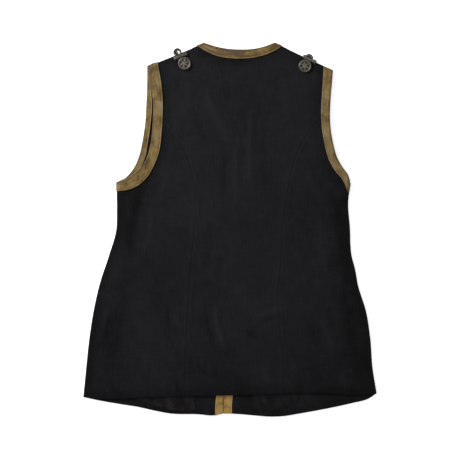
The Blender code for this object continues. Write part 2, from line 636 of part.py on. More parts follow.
def make_clasps(material, collection):
    """Make each clasp's plate with its eye, its crossbar and its disc."""
    upper = CLASP_BASE + PLATE_HEIGHT + GAP
    for side, x, y, (bar_turn, slide), (plate_turn, reach, eye) in CLASPS:
        plate = flat_shape(f"clasp_plate_{side}", (plate_outline(reach), eye_outline(reach, eye)),
                           PLATE_HEIGHT)
        bar = flat_shape(f"clasp_bar_{side}", (bar_outline(slide),), BAR_HEIGHT)
        disc = disc_object(f"clasp_disc_{side}")
        places = ((plate, CLASP_BASE + PLATE_HEIGHT / 2, plate_turn),
                  (bar, upper + BAR_HEIGHT / 2, bar_turn), (disc, upper, bar_turn))
        for thing, height, turn in places:
            thing.matrix_world = (Matrix.Translation(Vector((x, y, height)) * MM)
                                  @ Matrix.Rotation(math.radians(turn), 4, "Z"))
            dress(thing, material, collection)


def main():
    """Build the whole vest."""
    clear_scene()
    collection = bpy.data.collections.new("folk_vest")
    bpy.context.scene.collection.children.link(collection)
    wool, lining, ribbon, silver = (make_material(name) for name in COLOURS)
    outline = Outline()
    make_back(outline, wool, collection)
    make_fronts(outline, wool, lining, collection)
    make_bindings(outline, ribbon, collection)
    make_clasps(silver, collection)


main()
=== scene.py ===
"""Looks of a black wool folk-dress vest that lies flat with its back up.

The wool panels, the ribbon bindings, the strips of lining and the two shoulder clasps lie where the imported
solids lie. Lengths are millimetres, and become metres where a mesh is made. X runs to the right of the
laid-out vest, Y from its hem to its neck and Z up from the surface that it lies on.
"""

import logging
import math
from dataclasses import dataclass, field
from enum import Enum
from typing import Callable, Iterable, Sequence

import bmesh
import bpy
import numpy as np
from mathutils import Matrix, Vector


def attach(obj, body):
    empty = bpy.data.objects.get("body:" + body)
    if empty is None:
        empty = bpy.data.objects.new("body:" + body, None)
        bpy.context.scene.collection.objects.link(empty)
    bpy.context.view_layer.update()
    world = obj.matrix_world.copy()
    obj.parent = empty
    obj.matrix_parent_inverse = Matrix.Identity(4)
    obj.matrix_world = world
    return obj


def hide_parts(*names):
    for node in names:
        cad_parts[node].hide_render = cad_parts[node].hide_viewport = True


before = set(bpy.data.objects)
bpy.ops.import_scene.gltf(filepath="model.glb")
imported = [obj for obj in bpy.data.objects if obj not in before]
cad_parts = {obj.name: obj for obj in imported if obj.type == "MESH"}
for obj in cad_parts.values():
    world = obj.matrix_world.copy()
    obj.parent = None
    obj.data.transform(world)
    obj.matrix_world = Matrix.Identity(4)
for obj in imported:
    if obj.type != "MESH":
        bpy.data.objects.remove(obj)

LOG = logging.getLogger("folk_vest")
MM = 0.001
Array = np.ndarray
Thing = bpy.types.Object
Material = bpy.types.Material
Socket = bpy.types.NodeSocket
Pair = tuple[float, float]
Colour = tuple[float, float, float, float]
Rows = Sequence[tuple[float, ...]]
Level = Callable[[Array], Array]


class Side(Enum):
    """Side of the laid-out vest, with the sign of its X."""

    LEFT = -1
    RIGHT = 1

    @property
    def word(self) -> str:
        """Return the side's word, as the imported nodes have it."""
        return self.name.lower()


class Slot(Enum):
    """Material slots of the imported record."""

    WOOL = "black_wool"
    LINING = "dark_lining"
    RIBBON = "gold_ribbon"
    SILVER = "antique_silver"


def smooth_line(rows: Rows, samples: int = 300) -> Array:
    """Draw a smooth line through rows of x, y.

    Args:
        rows: Points that the line passes.
        samples: Number of points of the result.

    Returns:
        Points evenly spaced along the line.
    """
    points = np.array(rows, dtype=float)
    along = lengths_along(points)
    slopes = np.gradient(points, along, axis=0)
    places = np.linspace(0.0, along[-1], samples)
    spans = np.clip(np.searchsorted(along, places, side="right") - 1, 0, len(along) - 2)
    step = (along[spans + 1] - along[spans])[:, None]
    t = (places[:, None] - along[spans][:, None]) / step
    line = ((2 * t**3 - 3 * t**2 + 1) * points[spans] + (t**3 - 2 * t**2 + t) * step * slopes[spans]
            + (3 * t**2 - 2 * t**3) * points[spans + 1] + (t**3 - t**2) * step * slopes[spans + 1])
    return respaced(line, np.linspace(0.0, 1.0, samples))


def lengths_along(line: Array) -> Array:
    """Return the length of the line up to each of its points."""
    return np.concatenate(([0.0], np.cumsum(np.linalg.norm(np.diff(line, axis=0), axis=1))))


def respaced(line: Array, fractions: Array) -> Array:
    """Return points of the line at fractions of its length."""
    along = lengths_along(line)
    places = np.asarray(fractions) * along[-1]
    return np.stack([np.interp(places, along, line[:, axis]) for axis in range(line.shape[1])], axis=-1)


def read_line(line: Array, fractions: Array) -> Array:
    """Return points of the line at fractions of its count of points."""
    places = np.linspace(0.0, 1.0, len(line))
    return np.stack([np.interp(fractions, places, line[:, axis]) for axis in range(line.shape[1])], axis=-1)


def shifted(line: Array, distance: float) -> Array:
    """Return the line moved to its right by a distance, square to its own direction."""
    direction = np.gradient(line, axis=0)
    direction /= np.linalg.norm(direction, axis=1)[:, None]
    return line + distance * np.stack([direction[:, 1], -direction[:, 0]], axis=1)


def joined(*lines: Array) -> Array:
    """Return the lines as one, with each meeting point once."""
    return np.concatenate([lines[0]] + [line[1:] for line in lines[1:]])


def sagging_line(start: Array, end: Array, sag: float, count: int = 60) -> Array:
    """Return a nearly straight line that dips by sag in its middle."""
    t = np.linspace(0.0, 1.0, count)[:, None]
    line = np.asarray(start) * (1 - t) + np.asarray(end) * t
    line[:, 1] -= sag * 4 * (t * (1 - t))[:, 0]
    return line


def distance_to(line: Array, points: Array, exact_within: float = 66.0) -> Array:
    """Measure how far points lie from a line.

    Args:
        line: Points of the line, N by 2.
        points: Plan points, in any shape that ends in 2.
        exact_within: Distance past which a coarse answer is enough.

    Returns:
        One distance for each point.
    """
    flat = points.reshape(-1, 2)
    coarse = line[np.unique(np.linspace(0, len(line) - 1, 24).astype(int))]
    result = plain_distance(coarse, flat)
    close = np.flatnonzero(result < exact_within)
    if len(line) > len(coarse) and len(close):
        result[close] = plain_distance(line, flat[close])
    return result.reshape(points.shape[:-1])


def plain_distance(line: Array, flat: Array, batch: int = 4000) -> Array:
    """Return the distance of each row of x, y from the line, worked out in batches."""
    starts, steps = line[:-1], np.diff(line, axis=0)
    squares = (steps**2).sum(axis=1)
    result = np.empty(len(flat))
    for first in range(0, len(flat), batch):
        offset = flat[first:first + batch, None, :] - starts[None]
        share = np.clip((offset * steps).sum(axis=2) / squares, 0.0, 1.0)
        missed = offset - share[..., None] * steps
        result[first:first + batch] = np.sqrt((missed**2).sum(axis=2)).min(axis=1)
    return result


def ease(value: Array) -> Array:
    """Return a soft step from 0 to 1."""
    t = np.clip(value, 0.0, 1.0)
    return t * t * (3 - 2 * t)


def near(distance: Array, flat: float, ramp: float) -> Array:
    """Return 1 within the flat distance and 0 beyond the ramp."""
    return 1 - ease((distance - flat) / ramp)


def ripple(points: Array, pitch: float, seed: float) -> Array:
    """Return an irregular soft wave between about -1 and 1 at plan points."""
    x, y = points[..., 0] / pitch, points[..., 1] / pitch
    waves = ((1.0, 0.37, 0.0), (-0.61, 1.13, 1.7), (0.45, -0.83, 4.1), (1.37, 0.92, 2.6))
    total = sum(np.sin(6.283 * (a * x + b * y) + c + seed * (1 + index)) / (1 + 0.5 * index)
                for index, (a, b, c) in enumerate(waves))
    return total / 2.0


def nearest(lines: Iterable[Array], points: Array) -> Array:
    """Return how far plan points lie from the nearest of some lines."""
    return np.minimum.reduce([distance_to(line, points) for line in lines])


def raised(plan: Array, height: Array) -> Array:
    """Return plan points as x, y, z."""
    return np.concatenate([plan, np.asarray(height)[..., None]], axis=-1)


def linked(name: str, data: bpy.types.ID) -> Thing:
    """Return a new object of the scene that has the data."""
    thing = bpy.data.objects.new(name, data)
    bpy.context.collection.objects.link(thing)
    return thing


@dataclass(frozen=True)
class Ramp:
    """An amount that holds within a flat distance and fades to nothing over its run."""

    flat: float
    run: float
    amount: float = 1.0

    def at(self, distance: Array) -> Array:
        """Return the amount at each distance."""
        return self.amount * near(distance, self.flat, self.run)


@dataclass(frozen=True)
class Wave:
    """An irregular soft wave with its pitch, its seed and its height."""

    pitch: float
    seed: float
    height: float

    def at(self, points: Array) -> Array:
        """Return the wave at plan points."""
        return self.height * ripple(points, self.pitch, self.seed)


@dataclass(frozen=True)
class Thickness:
    """Thicknesses of the cloths and the heights that follow from them."""

    wool: float = 1.4
    ribbon: float = 1.0
    gap: float = 0.3
    layer_gap: float = 0.4

    @property
    def leg_outside(self) -> float:
        """Return the height of a ribbon leg's outside over the wool's middle."""
        return self.wool / 2 + self.gap + self.ribbon

    @property
    def edge_inset(self) -> float:
        """Return how far the wool stops inside a bound edge."""
        return self.ribbon + self.gap

    @property
    def front(self) -> float:
        """Return the height of the fronts' middle where they lie flat."""
        return self.wool / 2

    @property
    def back_bound(self) -> float:
        """Return the height of the back's middle at its bound edges."""
        return 3 * self.leg_outside + self.layer_gap


CLOTH = Thickness()


class BoundEdge:
    """A finished edge, the wool's edge inside its ribbon and the ribbon's inner edge."""

    def __init__(self, line: Array, inward: int, inner: Array) -> None:
        """Keep the edge.

        Args:
            line: The finished edge.
            inward: 1 if the cloth lies to the right of the line, else -1.
            inner: The ribbon's inner edge, in the same direction.
        """
        self.line = line
        self.wool = shifted(line, inward * CLOTH.edge_inset)
        self.inward = (self.wool - line) / CLOTH.edge_inset
        self.inner = inner


@dataclass(frozen=True)
class VestCut:
    """Outlines of the vest as it lies, each table a row of x, y from the hem up or from left to right."""

    side_left: Rows = (
        (-285.2, -325), (-279.7, -269), (-273.9, -214), (-265.7, -160), (-253.3, -105), (-235.7, -51),
        (-221.2, 0), (-219.8, 40), (-220.4, 93.6))
    side_right: Rows = (
        (285.2, -318), (277.3, -269), (273.1, -214), (264.9, -160), (248.3, -105), (243.6, -78),
        (236.6, -51), (233.1, 4), (230, 60), (234.6, 90))
    back_hem: Rows = (
        (-286, -325), (-252, -327.2), (-212, -327.4), (-153, -324.5), (-73, -322.3), (10, -320.8),
        (80, -318), (126, -315.9), (195, -317), (240, -320), (286, -318))
    front_hem: Rows = (
        (-286, -325), (-252, -332.3), (-212, -339.2), (-178, -344.7), (-143, -352.6), (-118, -357.2),
        (-63, -359), (-29, -361), (-12, -357.5), (10, -357.8), (45, -360.8), (80, -363.4),
        (103, -362.6), (137, -357.2), (206, -344.3), (241, -336.5), (268, -329.4), (286, -318))
    neck: Rows = (
        (-50, 364.4), (-32, 358.4), (-8.4, 353.3), (18, 351.4), (48.8, 353), (68.8, 357.8),
        (86.8, 364.6))
    neck_inner: Rows = (
        (-64, 358.2), (-43.1, 345.9), (-25.7, 338.5), (-3.3, 334.2), (20, 333), (53.8, 336.6),
        (73.7, 342.5), (88, 349.2), (101.5, 357.4))
    armhole_back_left: Rows = (
        (-220.4, 93.6), (-207, 97), (-191, 107), (-173.6, 122), (-160.5, 145), (-154.1, 171.6),
        (-150.6, 210), (-149.8, 247.7), (-154.5, 279), (-161.5, 317.9))
    armhole_back_right: Rows = (
        (234.6, 90), (230, 107), (219.8, 121.5), (209.2, 140), (201.4, 166.1), (196.2, 195.8),
        (194.6, 223.5), (195.6, 250), (197.9, 279.2), (200.5, 310.8))
    armhole_front_left: Rows = (
        (-220.4, 93.6), (-203.5, 102.5), (-188.8, 119), (-177.5, 143.5), (-170.4, 174.7),
        (-165.4, 209.6), (-163.3, 244.5), (-161.8, 279.2), (-161.5, 317.9))
    armhole_front_right: Rows = (
        (234.6, 90), (227.5, 105), (216.5, 121.5), (205.7, 140), (198, 166.1), (193, 195.8),
        (191.4, 223.5), (192.6, 250), (195.8, 279.2), (200.5, 310.8))
    armhole_inner_left: Rows = (
        (-219.9, 75.6), (-202.8, 77.2), (-181.7, 84.6), (-162, 101.5), (-147, 126.8), (-137.3, 154.1),
        (-132.8, 190), (-130.7, 227), (-130.9, 257.4), (-134, 288.6), (-140.6, 326.2))
    armhole_inner_right: Rows = (
        (229.9, 72), (218, 99), (204, 115.5), (191.9, 137.5), (184.1, 166.1), (179, 195.8), (177, 226),
        (178.2, 253.5), (180.6, 288), (182, 318.1))
    seam_left: Rows = (
        (-86, -322.7), (-87.8, -277), (-85.8, -230), (-81.9, -163.8), (-79, -97.5), (-74.1, -50.7),
        (-67.5, 20), (-66.8, 60), (-69.5, 90), (-78, 126.8), (-90.5, 158), (-112, 186), (-130, 204))
    seam_right: Rows = (
        (107.3, -316.6), (103.4, -253.5), (97, -190), (94, -125), (99.5, -58.5), (102.5, 4),
        (109.2, 58.5), (115.1, 89.7), (121.5, 121), (131.5, 152.1), (148.2, 183.3), (173, 214.5))
    front_centre: Rows = ((-12.5, -357.2), (15.0, 231.0))
    neckline_front_left: Rows = ((-8.0, 260.0), (-29.0, 297.0), (-43.0, 333.0), (-50.0, 364.4))
    neckline_front_right: Rows = ((41.0, 260.0), (63.0, 297.0), (78.0, 333.0), (86.8, 364.6))
    neckline_corner: float = 6.0
    shoulder_sag_left: float = 1.0
    shoulder_sag_right: float = 0.4
    seam_top_left: float = 0.615
    seam_top_right: float = 0.68
    front_edge_width: float = 16.6
    front_armhole_width: float = 18.0
    hem_ribbon_left: tuple[float, float] = (-28.6, -361.5)
    hem_ribbon_right: tuple[float, float] = (4.6, -357.4)
    def of(self, name: str, side: Side) -> object:
        """Return the size with this name that is kept for each side."""
        return getattr(self, f"{name}_{side.word}")


class Outline:
    """The lines of the cut, ready to be read by panels and ribbons."""

    def __init__(self, cut: VestCut) -> None:
        """Draw all the lines of the cut."""
        self.cut = cut
        self.back_hem, self.front_hem = smooth_line(cut.back_hem), smooth_line(cut.front_hem)
        self.neck = BoundEdge(smooth_line(cut.neck), 1, smooth_line(cut.neck_inner))
        self.shoulders = {
            Side.LEFT: sagging_line(cut.armhole_back_left[-1], cut.neck[0], cut.shoulder_sag_left),
            Side.RIGHT: sagging_line(cut.neck[-1], cut.armhole_back_right[-1], cut.shoulder_sag_right),
        }
        self.sides: dict[Side, Array] = {}
        self.seams: dict[Side, Array] = {}
        self.back_armholes: dict[Side, BoundEdge] = {}
        self.front_armholes: dict[Side, BoundEdge] = {}
        self.front_edges: dict[Side, BoundEdge] = {}
        for side, neck_end in ((Side.LEFT, 0), (Side.RIGHT, -1)):
            inward, inner = -side.value, cut.of("armhole_inner", side)
            self.sides[side] = smooth_line(cut.of("side", side))
            self.back_armholes[side] = BoundEdge(smooth_line(cut.of("armhole_back", side)), inward,
                                                 smooth_line(inner))
            front = smooth_line(cut.of("armhole_front", side))
            self.front_armholes[side] = self.parallel_edge(front, inward, cut.front_armhole_width, inner[0],
                                                           inner[-1])
            self.front_edges[side] = self.parallel_edge(self.front_edge_line(side), side.value,
                                                        cut.front_edge_width, cut.of("hem_ribbon", side),
                                                        cut.neck_inner[neck_end])
            self.seams[side] = self.seam_line(cut.of("seam", side), side, cut.of("seam_top", side))

    @staticmethod
    def parallel_edge(line: Array, inward: int, width: float, first: Pair, last: Pair,
                      clear_of_ends: float = 2.0, every: int = 14) -> BoundEdge:
        """Return a bound edge whose ribbon has one width and given inner end points."""
        inner = shifted(line, inward * width)
        clear = nearest((np.array((line[0], first)), np.array((line[-1], last))), inner) > clear_of_ends
        return BoundEdge(line, inward, smooth_line([first] + list(inner[clear][::every]) + [last]))

    def front_edge_line(self, side: Side) -> Array:
        """Return one front edge, straight from the hem and then curved up to the neck."""
        cut = self.cut
        hem, (x, y) = cut.front_centre
        corner = (x + side.value * cut.neckline_corner, y + cut.neckline_corner)
        curve = smooth_line(((x, y), corner) + tuple(cut.of("neckline_front", side)))
        return respaced(joined(np.array((hem, (x, y))), curve), np.linspace(0.0, 1.0, 300))

    def seam_line(self, rows: Rows, side: Side, top: float) -> Array:
        """Return a princess seam from the hem up to the wool's edge in the armhole."""
        end = read_line(self.back_armholes[side].wool, np.array([top]))[0]
        return smooth_line(tuple(rows) + (tuple(end),))


OUTLINE = Outline(VestCut())


@dataclass(frozen=True)
class Crease:
    """A soft fold between two points that bows to one side; a trough has a height below zero."""

    x0: float
    y0: float
    x1: float
    y1: float
    half_width: float
    height: float
    bow: float = 0.0

    def lift(self, points: Array) -> Array:
        """Return how far the fold lifts each plan point.

        Args:
            points: Plan points, in any shape that ends in 2.

        Returns:
            Heights, tapering to nothing at both ends and on both sides.
        """
        start, end = np.array((self.x0, self.y0)), np.array((self.x1, self.y1))
        run = end - start
        length = float(np.linalg.norm(run))
        offset = points - start
        along = (offset @ run) / length**2
        across = (offset[..., 0] * run[1] - offset[..., 1] * run[0]) / length
        across = across - self.bow * 4 * along * (1 - along)
        width = self.half_width * (0.75 + 0.5 * np.clip(along, 0, 1))
        taper = near(np.abs(along - 0.5), 0.18, 0.42)
        return self.height * taper * np.exp(-(across / width * 1.7)**2)


BACK_CREASES = tuple(Crease(*row) for row in (
    (-163.8, 92, -196, -60, 17, -1.7, 6), (-148, 60, -172, -70, 15, 1.1, -5),
    (197, 78, 222, -80, 20, -1.8, -6), (222, -60, 246, -270, 20, -1.7, 5),
    (176, 40, 190, -80, 17, 1.1, 4), (-48, 275, 12, 155, 15, 1.7, 5), (-76, 250, -30, 150, 12, -0.9, 4),
    (43, 225, 43, 66, 13, 1.6, 3), (64, 205, 68, 60, 11, -0.8, -3),
    (-11.7, 160, -11.7, 60, 12, -1.3, -3), (16, 190, 14, 40, 10, 0.8, 2),
    (90, 300, 101, 262, 11, -1.1, 2), (-99.5, 312, -99, 262, 9, -1.3, 2),
    (-82, 300, -80, 240, 9, 0.7, -2), (-117, -140, -113, -206, 10, -1.4, 3),
    (-101, -130, -98, -200, 9, 0.8, 2), (-46.8, -145, -26, -238, 9, -1.5, 3),
    (-29, -140, -8, -240, 9, 1.9, 3), (28, -192, 66, -218, 7, -1.3, 2),
    (56, -183, 104, -170, 7, -1.3, -2), (50, -170, 96, -156, 8, 1, -2),
    (172, -165, 204, -245, 12, 1.6, -4), (150, -175, 178, -250, 11, -1.1, -4),
    (-228, -160, -243, -236, 11, -1.2, 3), (-130, -228, -99, -262, 9, 1.1, 3),
    (-106, -292, -92, -330, 9, -1.5, 0), (-128, -290, -126, -330, 10, 1.2, 0),
    (-236, -296, -206, -330, 12, -1.4, 0), (62, -268, 80, -300, 11, 1.8, 2),
    (132, -280, 144, -322, 10, -1.2, 0), (214, -270, 232, -322, 12, 1.3, 0),
    (20, -20, -12, -110, 13, 0.9, 4), (-36, 20, -48, -80, 12, -0.9, -4), (150, 120, 180, 60, 12, 1, 4),
    (-110, 120, -140, 40, 12, 0.9, 4)))

FRONT_CREASES = tuple(Crease(*row) for row in (
    (-60, 60, -92, -90, 15, 1.4, 5), (-150, 40, -176, -110, 16, 1.5, -6),
    (-130, -140, -146, -280, 14, 1.3, 4), (-70, -190, -80, -300, 12, 1, 3),
    (-215, -170, -228, -290, 14, 1.2, -4), (-90, 230, -78, 130, 13, 1.2, 4),
    (70, 80, 92, -70, 15, 1.4, -5), (160, 30, 184, -120, 16, 1.6, 5),
    (96, -150, 104, -290, 13, 1.2, -4), (196, -180, 214, -290, 14, 1.3, 4),
    (110, 250, 104, 140, 13, 1.2, -4)))


# Broad bands of painted shade, drawn as folds that only darken the back's colour and leave its heights alone.
PAINTED_SHADE_FOLDS = tuple(Crease(*row) for row in (
    (-172, 96, -214, -70, 34, -1.7, 8), (-205, -60, -246, -300, 30, -1.3, -6),
    (-120, -40, -150, -190, 22, -0.7, 6), (205, 90, 240, -130, 34, -1.6, -8),
    (240, -120, 262, -300, 26, -1.3, 6), (-60, -270, 40, -300, 24, -0.8, 4),
    (146, -230, 176, -310, 24, -0.9, -4)))


@dataclass(frozen=True)
class LaidCloth:
    """Heights of the middle of the wool over the plan, and its tone from 0 to 1, uneven at random, with
    painted light and shade on folds, edges, hem and seams.
    """

    outline: Outline
    back: float = 6.3
    crown: float = 2.6
    crown_middle: float = -40.0
    crown_reach: Pair = (250.0, 330.0)
    back_waves: tuple[Wave, ...] = (Wave(210.0, 0.3, 0.28), Wave(70.0, 1.1, 0.10))
    side_seam: float = 2.0
    shoulder_seam: float = 3.6
    seam_half_gap: float = 0.75
    bullnose: float = 7.0
    side_level: float = 3.4
    near_side: Ramp = Ramp(0.0, 34.0)
    near_bound: Ramp = Ramp(22.0, 24.0)
    near_shoulder: Ramp = Ramp(38.0, 24.0)
    seam_end: Ramp = Ramp(10.0, 12.0)
    allowance: Ramp = Ramp(3.0, 9.0, 0.5)
    groove_depth: float = 0.5
    groove_width: float = 0.9
    front_rise: Ramp = Ramp(0.0, 30.0, 2.0)
    back_tone_middle: float = 0.535
    back_tone_wave: Wave = Wave(260.0, 2.0, 0.08)
    front_tone_middle: float = 0.32
    front_tone_wave: Wave = Wave(180.0, 1.0, 0.10)
    # Painted light and shade: the fold share lights ridges and shades troughs, the ramps below paint shade at
    # edges, sides, hem and seams and a highlight beside each seam.
    tone_of_fold: float = 0.13
    edge_tone: Ramp = Ramp(0.0, 26.0, -0.30)
    front_edge_tone: Ramp = Ramp(0.0, 26.0, -0.18)
    side_tone: Ramp = Ramp(8.0, 120.0, -0.16)
    hem_tone: Ramp = Ramp(20.0, 160.0, -0.10)
    hem_place: float = -325.0
    seam_ridge: float = 4.0
    ridge_tone: Ramp = Ramp(0.5, 3.0, 0.06)
    seam_tone: Ramp = Ramp(0.4, 1.6, -0.10)

    def rounding(self, side: Array, shoulder: Array) -> tuple[Array, Array]:
        """Return how far a surface has left its seam, 0 to 1, and the height of the nearest seam."""
        share = np.clip(np.minimum(side, shoulder) / self.bullnose, 0.0, 1.0)
        return np.sqrt(1 - (1 - share)**2), np.where(side < shoulder, self.side_seam, self.shoulder_seam)

    def edges(self, points: Array) -> tuple[Array, Array]:
        """Return the distances of plan points from the sides and from the shoulders."""
        return nearest(self.outline.sides.values(), points), nearest(self.outline.shoulders.values(), points)

    def back_at(self, points: Array) -> Array:
        """Return the height of the middle of the back's wool.

        Args:
            points: Plan points, in any shape that ends in 2.

        Returns:
            Heights with the creases, the seams' grooves and the rounded seams at the outline.
        """
        outline = self.outline
        bound = nearest([edge.line for edge in (outline.neck, *outline.back_armholes.values())], points)
        side, shoulder = self.edges(points)
        x, y = points[..., 0], points[..., 1] - self.crown_middle
        wide, long = self.crown_reach
        level = self.back + self.crown * np.clip(1 - (x / wide)**2, 0, 1) * np.clip(1 - (y / long)**2, 0, 1)
        for wave in self.back_waves:
            level = level + wave.at(points)
        for crease in BACK_CREASES:
            level = level + crease.lift(points)
        level = level + (self.side_level - level) * self.near_side.at(side)
        level = level + (CLOTH.back_bound - level) * np.maximum(self.near_bound.at(bound),
                                                                self.near_shoulder.at(shoulder))
        for line in outline.seams.values():
            seam = distance_to(line, points)
            groove = self.groove_depth * np.exp(-(seam / self.groove_width)**2)
            level = level + (1 - self.seam_end.at(bound)) * (self.allowance.at(seam) - groove)
        rise, seam_level = self.rounding(side, shoulder)
        low = seam_level + self.seam_half_gap
        return low + (level - low) * rise

    def front_at(self, points: Array) -> Array:
        """Return the height of the middle of the fronts' wool at plan points."""
        outline = self.outline
        bound = nearest([edge.line for edge in (*outline.front_armholes.values(),
                                                *outline.front_edges.values())], points)
        side, shoulder = self.edges(points)
        at_ribbon = self.near_bound.at(bound)
        creases = sum(crease.lift(points) for crease in FRONT_CREASES)
        level = CLOTH.front + (1 - at_ribbon) * (creases + self.front_rise.at(shoulder))
        level = level + (CLOTH.leg_outside - level) * at_ribbon
        rise, seam_level = self.rounding(side, shoulder)
        high = np.maximum(seam_level - self.seam_half_gap, level)
        return high + (level - high) * rise

    def back_tone(self, points: Array) -> Array:
        """Return the back's tone: painted light on fold ridges, painted shade in troughs and broad bands, at
        edges, sides, hem and seams, and a painted highlight beside each seam.
        """
        outline = self.outline
        side, shoulder = self.edges(points)
        bound = nearest([edge.inner for edge in (outline.neck, *outline.back_armholes.values())], points)
        edge = np.minimum.reduce([side, shoulder, bound, distance_to(outline.back_hem, points)])
        seam = nearest(outline.seams.values(), points)
        # Crease ridges are painted lighter and troughs darker, painted light and shade that makes the folds
        # show, with the broad bands of painted shade.
        folds = (sum(crease.lift(points) for crease in BACK_CREASES)
                 + sum(fold.lift(points) for fold in PAINTED_SHADE_FOLDS))
        tone = self.back_tone_middle + self.tone_of_fold * folds + self.back_tone_wave.at(points)
        # Painted shade at the edges, the sides and the hem, in each seam's groove, and a painted highlight on
        # the ridge beside it.
        tone = tone + self.edge_tone.at(edge) + self.side_tone.at(side)
        tone = tone + self.hem_tone.at(points[..., 1] - self.hem_place)
        tone = tone + self.ridge_tone.at(np.abs(seam - self.seam_ridge)) + self.seam_tone.at(seam)
        return np.clip(tone, 0.0, 1.0)

    def front_tone(self, points: Array) -> Array:
        """Return the fronts' tone: painted light and shade on their creases and painted shade near their
        sides and hem.
        """
        # Crease ridges are painted lighter and troughs darker: painted light and shade.
        folds = sum(crease.lift(points) for crease in FRONT_CREASES)
        edge = np.minimum(self.edges(points)[0], distance_to(self.outline.front_hem, points))
        tone = self.front_tone_middle + self.tone_of_fold * folds + self.front_tone_wave.at(points)
        # Painted shade near the sides and the hem.
        return np.clip(tone + self.front_edge_tone.at(edge), 0.0, 1.0)

LAID = LaidCloth(OUTLINE)


@dataclass(frozen=True)
class Patch:
    """A surface in plan that fills four edges."""

    bottom: Array
    top: Array
    left: Array
    right: Array

    def at(self, u: Array, v: Array) -> Array:
        """Return plan points at fractions across and up the patch.

        Args:
            u: Fractions from the left edge to the right edge.
            v: Fractions from the bottom edge to the top edge, in the shape of u.

        Returns:
            Points in the shape of u, with x and y.
        """
        bottom, top = read_line(self.bottom, u), read_line(self.top, u)
        left, right = read_line(self.left, v), read_line(self.right, v)
        u, v = u[..., None], v[..., None]
        corners = ((self.bottom[0] * (1 - u) + self.bottom[-1] * u) * (1 - v)
                   + (self.top[0] * (1 - u) + self.top[-1] * u) * v)
        return left * (1 - u) + right * u + bottom * (1 - v) + top * v - corners

    @property
    def height(self) -> float:
        """Return the mean length of the left and right edges."""
        return float((lengths_along(self.left)[-1] + lengths_along(self.right)[-1]) / 2)

    @property
    def width(self) -> float:
        """Return the mean length of the bottom and top edges."""
        return float((lengths_along(self.bottom)[-1] + lengths_along(self.top)[-1]) / 2)


def hem_between(hem: Array, start: float, end: float, count: int = 120) -> Array:
    """Return the part of a hem between two x values."""
    x = np.linspace(start, end, count)
    return np.stack([x, np.interp(x, hem[:, 0], hem[:, 1])], axis=1)


CROWDED = (0.0, 0.15, 0.5, 1.0, 1.8, 3.0, 4.8, 7.2)


def edge_dense(length: float, pitch: float) -> Array:
    """Return fractions of a length at a pitch, closer together near both ends."""
    crowd = np.array(CROWDED)
    count = max(2, round((length - 2 * crowd[-1]) / pitch))
    middle = np.linspace(crowd[-1], length - crowd[-1], count + 1)[1:-1]
    return np.concatenate([crowd, middle, (length - crowd)[::-1]]) / length


def baked(thing: Thing) -> Thing:
    """Turn an object and its modifiers into a plain mesh object of the same name, and return it."""
    graph = bpy.context.evaluated_depsgraph_get()
    mesh = bpy.data.meshes.new_from_object(thing.evaluated_get(graph), preserve_all_data_layers=True,
                                           depsgraph=graph)
    name = thing.name
    bpy.data.objects.remove(thing)
    mesh.name = name
    return linked(name, mesh)


def declare(thing: Thing, nodes: Sequence[str], material: Material) -> None:
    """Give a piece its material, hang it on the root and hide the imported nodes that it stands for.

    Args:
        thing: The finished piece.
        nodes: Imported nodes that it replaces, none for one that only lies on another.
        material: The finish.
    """
    thing.data.materials.clear()
    thing.data.materials.append(material)
    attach(thing, "root")
    if nodes:
        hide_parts(*nodes)


@dataclass(frozen=True)
class ClothGrid:
    """The middle of a laid cloth as a grid, with the same points in its flat cut and the tone of each: uneven
    colour with painted light and shade.
    """

    points: Array
    flat: Array
    tone: Array

    @property
    def area(self) -> float:
        """Return the area in square metres."""
        points = self.points
        across = np.cross(points[1:, 1:] - points[:-1, :-1], points[1:, :-1] - points[:-1, 1:])
        return float(np.linalg.norm(across, axis=2).sum() / 2 * MM * MM)

    def surface(self, name: str) -> Thing:
        """Make the open surface, with a UV map of the flat cut in metres and the attribute "tone"."""
        rows, columns = self.points.shape[:2]
        index = np.arange(rows * columns).reshape(rows, columns)
        corners = np.stack([index[:-1, :-1], index[:-1, 1:], index[1:, 1:], index[1:, :-1]], axis=-1)
        mesh = bpy.data.meshes.new(name)
        mesh.from_pydata((self.points.reshape(-1, 3) * MM).tolist(), [], corners.reshape(-1, 4).tolist())
        layer = mesh.uv_layers.new(name="cut")
        places = np.empty(len(mesh.loops), dtype=np.int32)
        mesh.loops.foreach_get("vertex_index", places)
        layer.data.foreach_set("uv", (self.flat.reshape(-1, 2)[places] * MM).astype(np.float32).ravel())
        tones = mesh.attributes.new("tone", "FLOAT", "POINT")
        tones.data.foreach_set("value", self.tone.astype(np.float32).ravel())
        mesh.shade_smooth()
        return linked(name, mesh)

    def lay(self, name: str, node: str, slot: Slot, material: Material, thickness: float,
            size: Sequence[float], rests_on: Sequence[str]) -> None:
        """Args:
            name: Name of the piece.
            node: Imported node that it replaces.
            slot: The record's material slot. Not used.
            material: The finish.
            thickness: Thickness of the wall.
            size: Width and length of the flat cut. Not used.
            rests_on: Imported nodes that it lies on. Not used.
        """
        thing = self.surface(name)
        wall = thing.modifiers.new("wall", "SOLIDIFY")
        wall.thickness, wall.offset = thickness * MM, 0.0
        thing = baked(thing)
        declare(thing, (node,), material)
        LOG.info("%s: %d faces", thing.name, len(thing.data.polygons))


